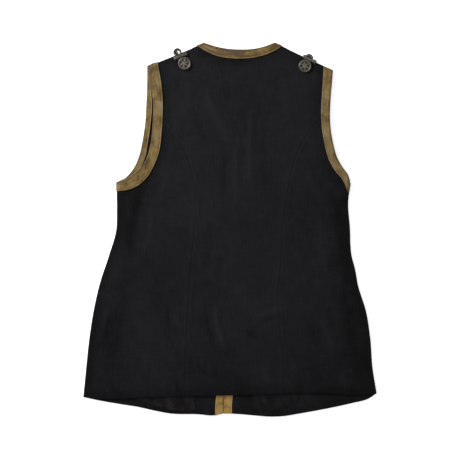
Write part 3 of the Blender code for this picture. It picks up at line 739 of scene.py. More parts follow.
def panel_plan(outline: Outline, name: str) -> Patch:
    """Draw one wool panel in plan.

    Args:
        outline: Lines of the cut.
        name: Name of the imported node.

    Returns:
        The panel's patch, with its left and right edges from the hem up.
    """
    even = np.linspace(0.0, 1.0, 500)
    cut = outline.cut
    seam_gap = np.array((CLOTH.gap / 3, 0.0))
    if name == "back_centre":
        edges = [respaced(joined(outline.seams[side] - side.value * seam_gap,
                                 read_line(outline.back_armholes[side].wool,
                                           np.linspace(cut.of("seam_top", side), 1, 90))), even)
                 for side in Side]
        neck = outline.neck.wool
        top = joined(sagging_line(edges[0][-1], neck[0], cut.shoulder_sag_left), neck,
                     sagging_line(neck[-1], edges[1][-1], cut.shoulder_sag_right))
        hem = hem_between(outline.back_hem, edges[0][0, 0], edges[1][0, 0])
        return Patch(hem, respaced(top, even), *edges)
    side = Side.LEFT if name.endswith("left") else Side.RIGHT
    if name.startswith("back"):
        outer, hem_line = outline.sides[side], outline.back_hem
        inner = outline.seams[side] + side.value * seam_gap
        top = read_line(outline.back_armholes[side].wool, np.linspace(0.0, cut.of("seam_top", side), 200))
    else:
        outer = respaced(joined(outline.sides[side], outline.front_armholes[side].wool), even)
        inner, hem_line = outline.front_edges[side].wool, outline.front_hem
        top = sagging_line(outer[-1], inner[-1], cut.of("shoulder_sag", side))
    if side is Side.RIGHT:
        outer, inner, top = inner, outer, top[::-1]
    return Patch(hem_between(hem_line, outer[0, 0], inner[0, 0]), respaced(top, even), outer, inner)


@dataclass(frozen=True)
class HemFold:
    """The turned-up wool at a hem, lower at side seams and under ribbons."""

    turn: float
    depth: float
    radius: float = 0.75
    side_loss: Ramp = Ramp(0.0, 16.0, 0.65)
    ribbon_loss: Ramp = Ramp(17.0, 9.0, 0.84)

    def rows(self, steps: int = 6) -> tuple[Array, Array]:
        """Return the distance from the hem and the height share of each row of the turned-up cloth."""
        back = np.linspace(self.depth, self.radius * 2, 10)
        angles = np.linspace(0.0, math.pi, steps + 1)[:-1]
        arc = self.radius * (1 - np.sin(angles))
        return np.concatenate([back, arc]), np.concatenate([np.ones(len(back)), (1 + np.cos(angles)) / 2])

    def share(self, points: Array, outline: Outline) -> Array:
        """Return how much of its height the fold keeps."""
        at_side = 1 - self.side_loss.at(nearest(outline.sides.values(), points))
        if self.turn < 0:
            return at_side
        ribbon = nearest([edge.line for edge in outline.front_edges.values()], points)
        return at_side * (1 - self.ribbon_loss.at(ribbon))


@dataclass(frozen=True)
class Panel:
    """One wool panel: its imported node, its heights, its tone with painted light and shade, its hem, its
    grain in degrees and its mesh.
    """

    node: str
    level: Level
    tone: Level
    hem: HemFold
    grain: float
    pitch: float
    rests_on: tuple[str, ...]
    row_share: float = 1.3
    seam_allowances: float = 20.0

    def grid(self, outline: Outline) -> ClothGrid:
        """Return the middle of the panel's cloth, from the edge of the turned-up hem to the top."""
        plan = panel_plan(outline, self.node)
        across = edge_dense(plan.width, self.pitch)
        up = edge_dense(plan.height, self.pitch * self.row_share)
        fold_distances, fold_shares = self.hem.rows()
        start = self.hem.radius / plan.height
        up = np.concatenate([[start], up[up > start * 1.6]])
        rows = np.concatenate([fold_distances / plan.height, up])
        shares = np.concatenate([fold_shares, np.zeros(len(up))])
        place = plan.at(*np.meshgrid(across, rows))
        fold = self.hem.turn * 2 * self.hem.radius * self.hem.share(place, outline)
        height = self.level(place) + fold * shares[:, None]
        turn = math.radians(self.grain)
        spin = np.array(((math.cos(turn), -math.sin(turn)), (math.sin(turn), math.cos(turn))))
        return ClothGrid(raised(place, height), place @ spin, self.tone(place))

    def build(self, outline: Outline, wool: Material) -> None:
        """Make the panel, give it its finish and hide the imported node."""
        grid = self.grid(outline)
        size = np.ptp(grid.points[..., :2].reshape(-1, 2), axis=0) + (self.seam_allowances, self.hem.depth)
        grid.lay(f"wool_{self.node}", self.node, Slot.WOOL, wool, CLOTH.wool, size, self.rests_on)


BACK_HEM_FOLD = HemFold(turn=-1.0, depth=24.0)
FRONT_HEM_FOLD = HemFold(turn=1.0, depth=46.0)
FRONTS = ("front_left", "front_right")
PANELS = (
    Panel("front_left", LAID.front_at, LAID.front_tone, FRONT_HEM_FOLD, -3.0, 3.4, ()),
    Panel("front_right", LAID.front_at, LAID.front_tone, FRONT_HEM_FOLD, 3.0, 3.4, ()),
    Panel("back_side_left", LAID.back_at, LAID.back_tone, BACK_HEM_FOLD, -4.0, 2.3, FRONTS),
    Panel("back_side_right", LAID.back_at, LAID.back_tone, BACK_HEM_FOLD, 4.0, 2.3, FRONTS),
    Panel("back_centre", LAID.back_at, LAID.back_tone, BACK_HEM_FOLD, 0.0, 2.1, FRONTS),
)


@dataclass(frozen=True)
class LiningStrip:
    """The strip of a front's lining that shows below the back's hem."""

    node: str
    rests_on: str
    lower: Rows
    wrinkle: float = 0.32
    faded: float = 0.45
    level: float = 3.35
    thickness: float = 0.6
    tucked: float = 35.0
    pitches: Pair = (1.4, 1.2)
    lean: float = 0.35
    squeeze: float = 0.3
    waves: tuple[Wave, ...] = (Wave(46.0, 0.9, 0.6), Wave(21.0, 2.2, 0.4))
    shown: Ramp = Ramp(30.0, 12.0)
    hidden_wrinkle: float = 0.4
    edge_drop: Ramp = Ramp(0.0, 3.0, 0.25)
    tone_of_fold: float = 0.45

    def build(self, outline: Outline, satin: Material) -> None:
        """Make the strip with its wrinkles, give it its finish and hide the imported node."""
        lower = smooth_line(self.lower)
        x = lower[:, 0]
        upper = np.stack([x, np.interp(x, *outline.back_hem.T) + self.tucked], axis=1)
        plan = Patch(lower, upper, *(np.linspace(lower[end], upper[end], 60) for end in (0, -1)))
        u, v = np.meshgrid(edge_dense(plan.width, self.pitches[0]), edge_dense(plan.height, self.pitches[1]))
        place = plan.at(u, v)
        x, y = place[..., 0], place[..., 1]
        slanted = np.stack([x + self.lean * y, y * self.squeeze], axis=-1)
        folds = sum(wave.at(slanted) for wave in self.waves)
        up = v * plan.height
        height = self.level + self.wrinkle * (self.hidden_wrinkle + self.shown.at(up)) * folds
        height = height - self.edge_drop.at(np.minimum(up, np.minimum(u, 1 - u) * plan.width))
        # The tone rises on wrinkle ridges and falls in troughs: painted highlights and painted shade on the
        # satin.
        grid = ClothGrid(raised(place, height), place, self.faded + self.tone_of_fold * folds)
        grid.lay(self.node + "_satin", self.node, Slot.LINING, satin, self.thickness,
                 np.ptp(place.reshape(-1, 2), axis=0), (self.rests_on,))


LININGS = (
    LiningStrip("front_lining_left", "front_left",
                ((-180.0, -331.0), (-162.0, -336.5), (-143.0, -343.0), (-120.0, -349.5), (-98.0, -352.5),
                 (-80.0, -352.0), (-68.0, -349.5))),
    LiningStrip("front_lining_right", "front_right",
                ((44.0, -351.0), (62.0, -351.5), (82.0, -350.5), (103.0, -345.5), (122.0, -337.5),
                 (137.0, -330.5)), wrinkle=0.5, faded=0.22),
)


@dataclass(frozen=True)
class RibbonShape:
    """Section of a folded ribbon over a bound edge, seen along the edge."""

    radius: float = 1.5
    thickness: float = 0.9
    crown: float = 0.28
    lip: float = 0.22
    lip_width: float = 2.2
    stitch_dip: float = 0.26
    stitch_width: float = 0.8
    pucker: float = 0.13
    pucker_length: float = 8.3
    pucker_drift: float = 2.1
    drift_length: float = 31.0
    join_step: float = 0.4
    lower_relief: float = 0.25
    lower_pull: float = 0.2
    pull_share: float = 0.25
    middle_tone: float = 0.5
    lip_tone: Ramp = Ramp(1.2, 1.4, 0.24)
    # Painted shade in the stitches and along the fold.
    stitch_tone: Ramp = Ramp(0.3, 1.2, -0.15)
    stitch_tone_place: float = 3.4
    fold_tone: Ramp = Ramp(0.4, 3.2, -0.28)
    join_tone: Ramp = Ramp(10.0, 45.0, 0.25)
    past_join_tone: float = -0.06
    arc_steps: int = 9
    leg: tuple[float, ...] = (*np.linspace(0.0, 0.8, 12), 0.84, 0.865, 0.89, 0.915, 0.945, 1.0)
    stitch_column: int = 14

    @property
    def centre(self) -> float:
        """Return how far inside the finished edge the fold's centre lies."""
        return self.thickness / 2 + self.radius

    def relief(self, fractions: Array, width: Array) -> Array:
        """Return how far a leg stands up: its crown, the dip of its stitches and its lip.

        Args:
            fractions: Fractions of the leg from the fold.
            width: Width of the leg, in the shape of fractions.

        Returns:
            Heights over the leg's plain middle surface.
        """
        from_edge = (1 - fractions) * width
        crown = self.crown * np.sqrt(np.clip(4 * fractions * (1 - fractions), 0, 1))
        dip = self.stitch_dip * np.exp(-((from_edge - self.lip_width) / self.stitch_width)**2)
        return crown - dip + self.lip * near(from_edge, 0.6, self.lip_width)

    def tone(self, fractions: Array, width: Array) -> Array:
        """Return a leg's tone: pale on its lip, with painted shade in its stitches and along its fold."""
        from_edge, from_fold = (1 - fractions) * width, fractions * width
        tone = self.middle_tone + self.lip_tone.at(from_edge)
        tone = tone + self.stitch_tone.at(np.abs(from_edge - self.stitch_tone_place))
        return tone + self.fold_tone.at(from_fold)


@dataclass(frozen=True)
class Ribbon:
    """One ribbon binding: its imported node, what it lies on and the shares of its two legs."""

    node: str
    level: Level
    upper_share: float
    lower_share: float
    rests_on: tuple[str, ...]
    seed: float
    pitch: float = 1.9
    join_at: float = 0.0
    clear_of: Array | None = None
    clearance: Rows = ((0.2, 0.3), (0.42, 6.0), (0.6, 4.8), (0.8, 2.6), (0.95, 1.4))
    rubbed: float = 0.0
    cut_apart: float = 400.0
    stitch_lift: float = 0.05

    def edge(self, outline: Outline) -> BoundEdge:
        """Return the bound edge that the node's name says."""
        if self.node == "neck_binding":
            return outline.neck
        side = Side.LEFT if self.node.endswith("left") else Side.RIGHT
        if "front_edge" in self.node:
            return outline.front_edges[side]
        return (outline.back_armholes if "_back_" in self.node else outline.front_armholes)[side]

    def stations(self, edge: BoundEdge) -> Array:
        """Return fractions along the edge, close together at both ends."""
        places = edge_dense(float(lengths_along(edge.line)[-1]), self.pitch)
        if self.join_at:
            places = np.union1d(places, self.join_at + np.array((-0.0008, 0.0, 0.0008)))
        return places

    def share_of_upper(self, edge: BoundEdge, width: Array) -> Array:
        """Return the upper leg's share of its full width at each station, less where it stays clear."""
        share = np.full(len(width), self.upper_share)
        if self.clear_of is None:
            return share
        stations = self.stations(edge)
        clearance = np.interp(stations, *np.array(self.clearance).T)
        free = distance_to(self.clear_of, read_line(edge.line, stations)) - clearance
        return np.clip(free / width, 0.12, self.upper_share)

    def surface(self, edge: BoundEdge, shape: RibbonShape) -> tuple[Array, Array, Array]:
        """Return the wool's middle under the ribbon.

        Args:
            edge: The bound edge.
            shape: Section of the ribbon.

        Returns:
            Distances from the finished edge, of which those past 1 count as 1 plus the fraction towards
            the ribbon's inner edge; points with a row for each station; and their normals.
        """
        stations = self.stations(edge)
        start, inward, inner = (read_line(line, stations) for line in (edge.line, edge.inward, edge.inner))
        close = np.linspace(0.25, 1.0, 5)
        far = np.linspace(0.0, 1.0, 22)[1:]
        centre = start + inward * shape.centre
        near_edge = start[:, None] + inward[:, None] * (close * shape.centre)[:, None]
        leg = centre[:, None] + (inner - centre)[:, None] * far[:, None]
        plan = np.concatenate([near_edge, leg], axis=1)
        points = raised(plan, self.level(plan))
        normals = np.cross(np.gradient(points, axis=1), np.gradient(points, axis=0))
        normals *= np.sign(normals[..., 2:3] + 1e-12)
        normals /= np.linalg.norm(normals, axis=2)[..., None]
        return np.concatenate([close, 1 + far]), points, normals

    def grid(self, edge: BoundEdge, shape: RibbonShape) -> ClothGrid:
        """Return the ribbon's middle surface.

        Args:
            edge: The bound edge.
            shape: Section of the ribbon.

        Returns:
            A grid with rows along the edge and columns from the inner edge of the upper leg over the fold
            to that of the lower leg.
        """
        scale, surface, normals = self.surface(edge, shape)
        along = self.stations(edge) * float(lengths_along(edge.line)[-1])
        leg_width = np.linalg.norm(surface[:, -1, :2] - surface[:, 4, :2], axis=1)
        leg = np.array(shape.leg)
        angles = np.linspace(math.pi / 2, -math.pi / 2, shape.arc_steps + 2)[1:-1]
        upper_share = self.share_of_upper(edge, leg_width)[:, None]
        rows = len(along)
        width = np.repeat(leg_width[:, None], len(leg), axis=1)
        fractions = np.repeat(leg[None], rows, axis=0)
        arc = np.repeat((1 - shape.radius / shape.centre * np.cos(angles))[None], rows, axis=0)
        reach = np.concatenate([1 + fractions[:, ::-1] * upper_share, arc,
                                1 + fractions * self.lower_share], axis=1)
        drift = shape.pucker_drift * np.sin(along / shape.drift_length + self.seed)
        wave = np.sin(along / shape.pucker_length + drift + self.seed)
        joint = shape.join_step * (along > self.join_at * along[-1])[:, None] * (self.join_at > 0)
        upper = (shape.radius + shape.relief(fractions, width * upper_share)
                 + shape.pucker * wave[:, None] * leg + joint)
        lower = shape.radius + shape.relief(fractions, width * self.lower_share) * shape.lower_relief
        lower = lower - shape.lower_pull * ease(fractions / shape.pull_share)
        over = np.repeat((shape.radius * np.sin(angles))[None], rows, axis=0)
        offset = np.concatenate([upper[:, ::-1], over, -lower], axis=1)
        place = np.empty(reach.shape + (3,))
        for row in range(rows):
            for axis in range(3):
                at = np.interp(reach[row], scale, surface[row, :, axis])
                place[row, :, axis] = at + offset[row] * np.interp(reach[row], scale, normals[row, :, axis])
        across = np.concatenate([np.zeros((rows, 1)), np.cumsum(
            np.linalg.norm(np.diff(place, axis=1), axis=2), axis=1)], axis=1)
        down = np.repeat(along[:, None], reach.shape[1], axis=1)
        # The fold's arc takes the fold's painted shade in full.
        tone = np.concatenate([shape.tone(fractions, width * upper_share)[:, ::-1],
                               np.full(arc.shape, shape.middle_tone + shape.fold_tone.amount),
                               shape.tone(fractions, width * self.lower_share)], axis=1)
        if self.join_at:
            from_join = self.join_at * along[-1] - down
            tone = tone + np.where(from_join > 0, shape.join_tone.at(from_join), shape.past_join_tone)
        flat = np.stack([across, down + self.cut_apart * self.seed], axis=2)
        return ClothGrid(place, flat, np.clip(tone + self.rubbed, 0.0, 1.0))

    def build(self, outline: Outline, shape: RibbonShape, satin: Material) -> list[Array]:
        grid = self.grid(self.edge(outline), shape)
        grid.lay("ribbon_" + self.node, self.node, Slot.RIBBON, satin, shape.thickness,
                 np.ptp(grid.flat.reshape(-1, 2), axis=0), self.rests_on)
        points, count, column, lines = grid.points, len(shape.leg), shape.stitch_column, []
        for place, outwards in ((count - 1 - column, 1), (column - count, -1)):
            line = points[:, place]
            step = np.cross(np.gradient(line, axis=0), points[:, place + 1] - points[:, place - 1])
            step /= np.linalg.norm(step, axis=1)[:, None]
            step *= np.sign(step[:, 2:3] + 1e-12) * outwards
            lines.append((line + step * (shape.thickness / 2 + self.stitch_lift))[4:-4])
        return lines


RIBBONS = (
    Ribbon("armhole_binding_front_left", LAID.front_at, 0.72, 1.0, ("front_left",), 0.4,
           clear_of=OUTLINE.back_armholes[Side.LEFT].line),
    Ribbon("armhole_binding_front_right", LAID.front_at, 0.64, 1.0, ("front_right",), 1.3),
    Ribbon("front_edge_binding_left", LAID.front_at, 0.97, 1.0, ("front_left",), 2.2, 2.2, rubbed=0.18),
    Ribbon("front_edge_binding_right", LAID.front_at, 0.97, 1.0, ("front_right",), 3.1, 2.2, rubbed=0.22),
    Ribbon("neck_binding", LAID.back_at, 1.0, 0.7, ("back_centre",), 4.4, rubbed=-0.23),
    Ribbon("armhole_binding_back_left", LAID.back_at, 1.0, 0.7, ("back_centre", "back_side_left"), 5.2,
           join_at=0.745, rubbed=-0.11),
    Ribbon("armhole_binding_back_right", LAID.back_at, 1.0, 0.7, ("back_centre", "back_side_right"), 6.5),
)


class NodeSheet:
    """A node tree with short ways to add and join nodes."""

    def __init__(self, tree: bpy.types.NodeTree) -> None:
        """Keep the tree."""
        self.tree = tree

    def add(self, kind: str, feeds: dict[object, object] | None = None,
            **settings: object) -> bpy.types.Node:
        """Add a node.

        Args:
            kind: Blender's name of the node.
            feeds: An output to join or a value to set, for each input's name or number.
            settings: Options of the node.

        Returns:
            The node.
        """
        made = self.tree.nodes.new(kind)
        for key, value in settings.items():
            setattr(made, key, value)
        for key, value in (feeds or {}).items():
            self.feed(made.inputs[key], value)
        return made

    def feed(self, socket: Socket, value: object) -> None:
        """Join an output to an input, or set the input's own value."""
        if isinstance(value, Socket):
            self.tree.links.new(value, socket)
        else:
            socket.default_value = value

    def math(self, operation: str, *values: object) -> Socket:
        """Add a Math node with its values and return its result."""
        return self.add("ShaderNodeMath", dict(enumerate(values)), operation=operation).outputs[0]

    def blend(self, share: object, first: object, second: object) -> Socket:
        """Add a colour mix and return its result."""
        return self.add("ShaderNodeMix", {0: share, 6: first, 7: second}, data_type="RGBA").outputs[2]

    def between(self, value: object, low: float, high: float, to_low: float = 0.0,
                to_high: float = 1.0) -> Socket:
        """Map a value from one range to another, without overshoot."""
        values = dict(enumerate((value, low, high, to_low, to_high)))
        return self.add("ShaderNodeMapRange", values, clamp=True).outputs[0]

    def noise(self, vector: Socket, scale: object, detail: float = 3.0, roughness: float = 0.55) -> Socket:
        """Add a noise and return its value."""
        return self.add("ShaderNodeTexNoise", {"Vector": vector, "Scale": scale, "Detail": detail,
                                               "Roughness": roughness}).outputs["Fac"]

    def parts(self, vector: Socket) -> bpy.types.bpy_prop_collection:
        """Return the x, y and z of a vector."""
        return self.add("ShaderNodeSeparateXYZ", {0: vector}).outputs


def shader_group(name: str, inputs: Sequence[tuple[str, str, object]],
                 outputs: Sequence[str]) -> tuple[NodeSheet, bpy.types.Node, bpy.types.Node]:
    """Start a shader node group.

    Args:
        name: Name of the group.
        inputs: Name, socket type and first value of each input.
        outputs: Name of each output, all of them values.

    Returns:
        The group's sheet, its input node and its output node.
    """
    tree = bpy.data.node_groups.new(name, "ShaderNodeTree")
    for socket_name, kind, value in inputs:
        socket = tree.interface.new_socket(name=socket_name, in_out="INPUT", socket_type=kind)
        if value is not None:
            socket.default_value = value
    for socket_name in outputs:
        tree.interface.new_socket(name=socket_name, in_out="OUTPUT", socket_type="NodeSocketFloat")
    sheet = NodeSheet(tree)
    return sheet, sheet.add("NodeGroupInput"), sheet.add("NodeGroupOutput")


def weave_group() -> bpy.types.NodeTree:
    """Build the plain weave: threads that pass over and under each other, a little uneven."""
    sheet, given, result = shader_group("plain_weave", (
        ("Vector", "NodeSocketVector", None), ("Threads", "NodeSocketFloat", 1200.0),
        ("Unevenness", "NodeSocketFloat", 0.3)), ("Height", "Thread"))
    vector = given.outputs["Vector"]
    shift = sheet.math("MULTIPLY", sheet.noise(vector, 60.0, 2.0), given.outputs["Unevenness"])
    scaled = sheet.add("ShaderNodeVectorMath", {0: vector, "Scale": given.outputs["Threads"]},
                       operation="SCALE")
    threads = sheet.parts(scaled.outputs[0])
    moved = [sheet.math("ADD", threads[axis], shift) for axis in (0, 1)]
    warp, weft = (sheet.math("SINE", sheet.math("MULTIPLY", value, math.pi)) for value in moved)
    over = sheet.math("GREATER_THAN", sheet.math("MULTIPLY", warp, weft), 0.0)
    upper = sheet.math("MULTIPLY", over, sheet.math("ABSOLUTE", warp))
    under = sheet.math("MULTIPLY", sheet.math("SUBTRACT", 1.0, over), sheet.math("ABSOLUTE", weft))
    sheet.feed(result.inputs["Height"], sheet.math("ADD", upper, under))
    sheet.feed(result.inputs["Thread"], over)
    return sheet.tree


def streak_group() -> bpy.types.NodeTree:
    """Build streaks along Y and broad patches, for slubs, fading and wear."""
    sheet, given, result = shader_group("streaks_and_patches", (
        ("Vector", "NodeSocketVector", None), ("Across", "NodeSocketFloat", 300.0),
        ("Along", "NodeSocketFloat", 20.0), ("Patch Scale", "NodeSocketFloat", 12.0)),
        ("Streaks", "Patches"))
    parts = sheet.parts(given.outputs["Vector"])
    stretched = sheet.add("ShaderNodeCombineXYZ", {
        index: sheet.math("MULTIPLY", parts[index], given.outputs[title])
        for index, title in enumerate(("Across", "Along"))})
    streaks = sheet.noise(stretched.outputs[0], 1.0, 4.0, 0.6)
    patches = sheet.noise(given.outputs["Vector"], given.outputs["Patch Scale"], 4.0, 0.6)
    sheet.feed(result.inputs["Streaks"], sheet.between(streaks, 0.35, 0.68))
    sheet.feed(result.inputs["Patches"], sheet.between(patches, 0.36, 0.66))
    return sheet.tree


@dataclass(frozen=True)
class FinishGroups:
    """The shader groups that several finishes share."""

    weave: bpy.types.NodeTree = field(default_factory=weave_group)
    streaks: bpy.types.NodeTree = field(default_factory=streak_group)


class Finish:
    """Base of the finishes: a material with one Principled shader and shared groups."""

    def __init__(self, name: str, groups: FinishGroups) -> None:
        """Make the empty material."""
        self.material = bpy.data.materials.new(name)
        self.material.use_nodes = True
        self.material.node_tree.nodes.clear()
        self.sheet = NodeSheet(self.material.node_tree)
        self.groups = groups
        self.shader = self.sheet.add("ShaderNodeBsdfPrincipled")
        self.sheet.add("ShaderNodeOutputMaterial", {"Surface": self.shader.outputs[0]})

    def set(self, **values: object) -> None:
        """Set or join inputs of the shader; underscores stand for the spaces in their names."""
        for key, value in values.items():
            self.sheet.feed(self.shader.inputs[key.replace("_", " ")], value)

    def weave(self, vector: Socket, threads: float, unevenness: float) -> Socket:
        """Add the plain weave and return its height."""
        feeds = {"Vector": vector, "Threads": threads, "Unevenness": unevenness}
        return self.sheet.add("ShaderNodeGroup", feeds, node_tree=self.groups.weave).outputs["Height"]

    def streaks(self, vector: Socket, across: float, along: float,
                patch_scale: float) -> tuple[Socket, Socket]:
        """Add streaks and patches with their scales and return both."""
        feeds = {"Vector": vector, "Across": across, "Along": along, "Patch Scale": patch_scale}
        made = self.sheet.add("ShaderNodeGroup", feeds, node_tree=self.groups.streaks)
        return made.outputs["Streaks"], made.outputs["Patches"]

    def worn(self, *masks: tuple[Socket, float]) -> Socket:
        """Return the cloth's tone, 0 to 1, painted light and shade included, made uneven by masks with their
        weights.
        """
        sheet = self.sheet
        worn = sheet.add("ShaderNodeAttribute", attribute_name="tone").outputs["Fac"]
        for mask, weight in masks:
            worn = sheet.math("ADD", worn, sheet.math("MULTIPLY", sheet.math("SUBTRACT", mask, 0.5), weight))
        return worn

    def cut(self) -> Socket:
        """Return the coordinates of the flat cut, in metres."""
        return self.sheet.add("ShaderNodeUVMap", uv_map="cut").outputs[0]

    def place(self) -> Socket:
        """Return the place on the vest, in metres."""
        return self.sheet.add("ShaderNodeTexCoord").outputs["Object"]

    def bump(self, height: Socket, distance: float, strength: float, under: Socket | None = None) -> Socket:
        """Add a Bump node with a height in metres at full value, and return its normal."""
        feeds = {"Strength": strength, "Distance": distance, "Height": height}
        if under is not None:
            feeds["Normal"] = under
        return self.sheet.add("ShaderNodeBump", feeds).outputs[0]


@dataclass(frozen=True)
class WoolFinish:
    """Matt black plain-woven wool with slubs and faded, brushed patches, and the painted light and shade that
    its tone holds.
    """

    dark: Colour = (0.0014, 0.0015, 0.0018, 1.0)
    faded: Colour = (0.0126, 0.0128, 0.0150, 1.0)
    lint: Colour = (0.05, 0.048, 0.05, 1.0)

    def make(self, groups: FinishGroups) -> Material:
        """Build the material."""
        finish = Finish(Slot.WOOL.value, groups)
        sheet, cut = finish.sheet, finish.cut()
        weave = finish.weave(cut, 1150.0, 2.6)
        slubs, patches = finish.streaks(cut, 300.0, 32.0, 16.0)
        turned = sheet.add("ShaderNodeMapping", {"Vector": cut, "Rotation": (0.0, 0.0, math.pi / 2)})
        cross_slubs, fine_patches = finish.streaks(turned.outputs[0], 300.0, 34.0, 60.0)
        worn = finish.worn((slubs, 0.21), (cross_slubs, 0.16), (patches, 0.17), (fine_patches, 0.14))
        # Dark and faded colours follow the tone, so its painted light and shade on folds, edges and seams
        # shows here.
        colour = sheet.blend(sheet.between(worn, 0.0, 1.0), self.dark, self.faded)
        specks = sheet.between(sheet.noise(cut, 2600.0, 1.0), 0.74, 0.82, 0.0, 0.35)
        normal = finish.bump(sheet.math("ADD", slubs, cross_slubs), 0.0004, 0.6)
        finish.set(Base_Color=sheet.blend(specks, colour, self.lint), Roughness=0.9, Specular_IOR_Level=0.13,
                   Sheen_Weight=0.02, Sheen_Roughness=0.45, Sheen_Tint=(0.75, 0.78, 0.85, 1.0),
                   Normal=finish.bump(weave, 0.00028, 0.8, normal))
        return finish.material


@dataclass(frozen=True)
class LiningFinish:
    """Thin black satin, creased, with brownish faded patches and painted highlights along its creases."""

    dark: Colour = (0.0020, 0.0018, 0.0020, 1.0)
    faded: Colour = (0.0270, 0.0215, 0.0218, 1.0)

    def make(self, groups: FinishGroups) -> Material:
        """Build the material."""
        finish = Finish(Slot.LINING.value, groups)
        sheet, cut = finish.sheet, finish.cut()
        creases, patches = finish.streaks(cut, 150.0, 22.0, 64.0)
        # Lighter along the crease streaks: painted highlights on the satin's creases, with faded patches.
        faded = sheet.math("ADD", sheet.math("MULTIPLY", creases, 0.6), 0.25)
        faded = sheet.math("MULTIPLY", sheet.math("MULTIPLY", patches, faded), finish.worn())
        faded = sheet.math("MULTIPLY", faded, 1.5)
        normal = finish.bump(creases, 0.0006, 0.5)
        finish.set(Base_Color=sheet.blend(faded, self.dark, self.faded),
                   Roughness=sheet.between(creases, 0.0, 1.0, 0.5, 0.68), Specular_IOR_Level=0.09,
                   Normal=finish.bump(finish.weave(cut, 2600.0, 2.0), 0.00008, 0.5, normal))
        return finish.material


@dataclass(frozen=True)
class RibbonFinish:
    """Bronze-gold satin ribbon, pale on its rubbed parts and brown along its streaks, with the painted shade
    of its tone at stitches and folds.
    """

    name: str = Slot.RIBBON.value
    gold: Colour = (0.140, 0.088, 0.023, 1.0)
    pale: Colour = (0.190, 0.146, 0.080, 1.0)
    brown: Colour = (0.060, 0.034, 0.012, 1.0)
    gold_at: float = 0.42
    pale_at: float = 0.9
    ribs: float = 1300.0

    def make(self, groups: FinishGroups) -> Material:
        """Build the material."""
        finish = Finish(self.name, groups)
        sheet, cut = finish.sheet, finish.cut()
        wear, patches = finish.streaks(cut, 260.0, 24.0, 44.0)
        fine_wear, fine_patches = finish.streaks(cut, 1500.0, 55.0, 140.0)
        rib = sheet.math("SINE", sheet.math("MULTIPLY", sheet.parts(cut)[1], self.ribs * 2 * math.pi))
        worn = finish.worn((patches, 0.66), (wear, 0.36), (fine_wear, 0.22), (fine_patches, 0.26))
        colour = sheet.blend(sheet.between(worn, 0.0, self.gold_at), self.brown, self.gold)
        colour = sheet.blend(sheet.between(worn, self.gold_at, self.pale_at), colour, self.pale)
        finish.set(Base_Color=colour, Roughness=sheet.between(patches, 0.0, 1.0, 0.46, 0.62),
                   Specular_IOR_Level=0.22, Sheen_Weight=0.02, Sheen_Roughness=0.4,
                   Normal=finish.bump(rib, 0.00009, 0.6, finish.bump(wear, 0.00025, 0.45)))
        return finish.material


@dataclass(frozen=True)
class ThreadFinish:
    """Sewing thread."""

    name: str
    colour: Colour
    shade: float = 0.6

    def make(self, groups: FinishGroups) -> Material:
        """Build the material."""
        finish = Finish(self.name, groups)
        sheet, place = finish.sheet, finish.place()
        patches = finish.streaks(place, 500.0, 500.0, 60.0)[1]
        darker = tuple(self.shade * value for value in self.colour[:3]) + (1.0,)
        finish.set(Base_Color=sheet.blend(patches, self.colour, darker), Roughness=0.6,
                   Specular_IOR_Level=0.3, Normal=finish.bump(sheet.noise(place, 4000.0, 1.0), 0.0001, 0.5))
        return finish.material


@dataclass(frozen=True)
class SilverFinish:
    """Cast silver with its relief between two heights in metres: dark in its hollows with painted shade and
    tarnish, brighter on raised, rubbed parts.
    """

    name: str
    low: float
    high: float
    hollow: Colour = (0.007, 0.006, 0.005, 1.0)
    worn: Colour = (0.135, 0.117, 0.100, 1.0)

    def make(self, groups: FinishGroups) -> Material:
        """Build the material."""
        finish = Finish(self.name, groups)
        sheet, place = finish.sheet, finish.place()
        tarnish = finish.streaks(place, 260.0, 260.0, 420.0)[1]
        # Low parts are darker, painted shade in the hollows, with tarnish spots mixed in; raised parts are
        # rubbed brighter.
        height = sheet.between(sheet.parts(place)[2], self.low, self.high)
        spots = sheet.math("SUBTRACT", sheet.math("MULTIPLY", tarnish, 0.5), 0.25)
        rubbed = sheet.between(sheet.math("ADD", height, spots), 0.15, 0.95)
        finish.set(Base_Color=sheet.blend(rubbed, self.hollow, self.worn),
                   Metallic=sheet.between(rubbed, 0.0, 1.0, 0.55, 0.95),
                   Roughness=sheet.between(rubbed, 0.0, 1.0, 0.72, 0.38),
                   Normal=finish.bump(sheet.noise(place, 3200.0, 3.0), 0.00012, 0.5))
        return finish.material


class Grain(Enum):
    """Small pieces that are set in rows, with their segments and rings."""

    BEAD = (8, 5)
    STITCH = (6, 4)


@dataclass(frozen=True)
class RowSize:
    """Sizes of a row of beads or stitches, in millimetres."""

    step: float
    length: float
    width: float
    height: float


STITCH_SIZE = RowSize(3.1, 2.5, 0.42, 0.3)
SILVERS = (("silver_plate", 0.0074, 0.0096), ("silver_bar", 0.0094, 0.0112), ("silver_disc", 0.0098, 0.0111))


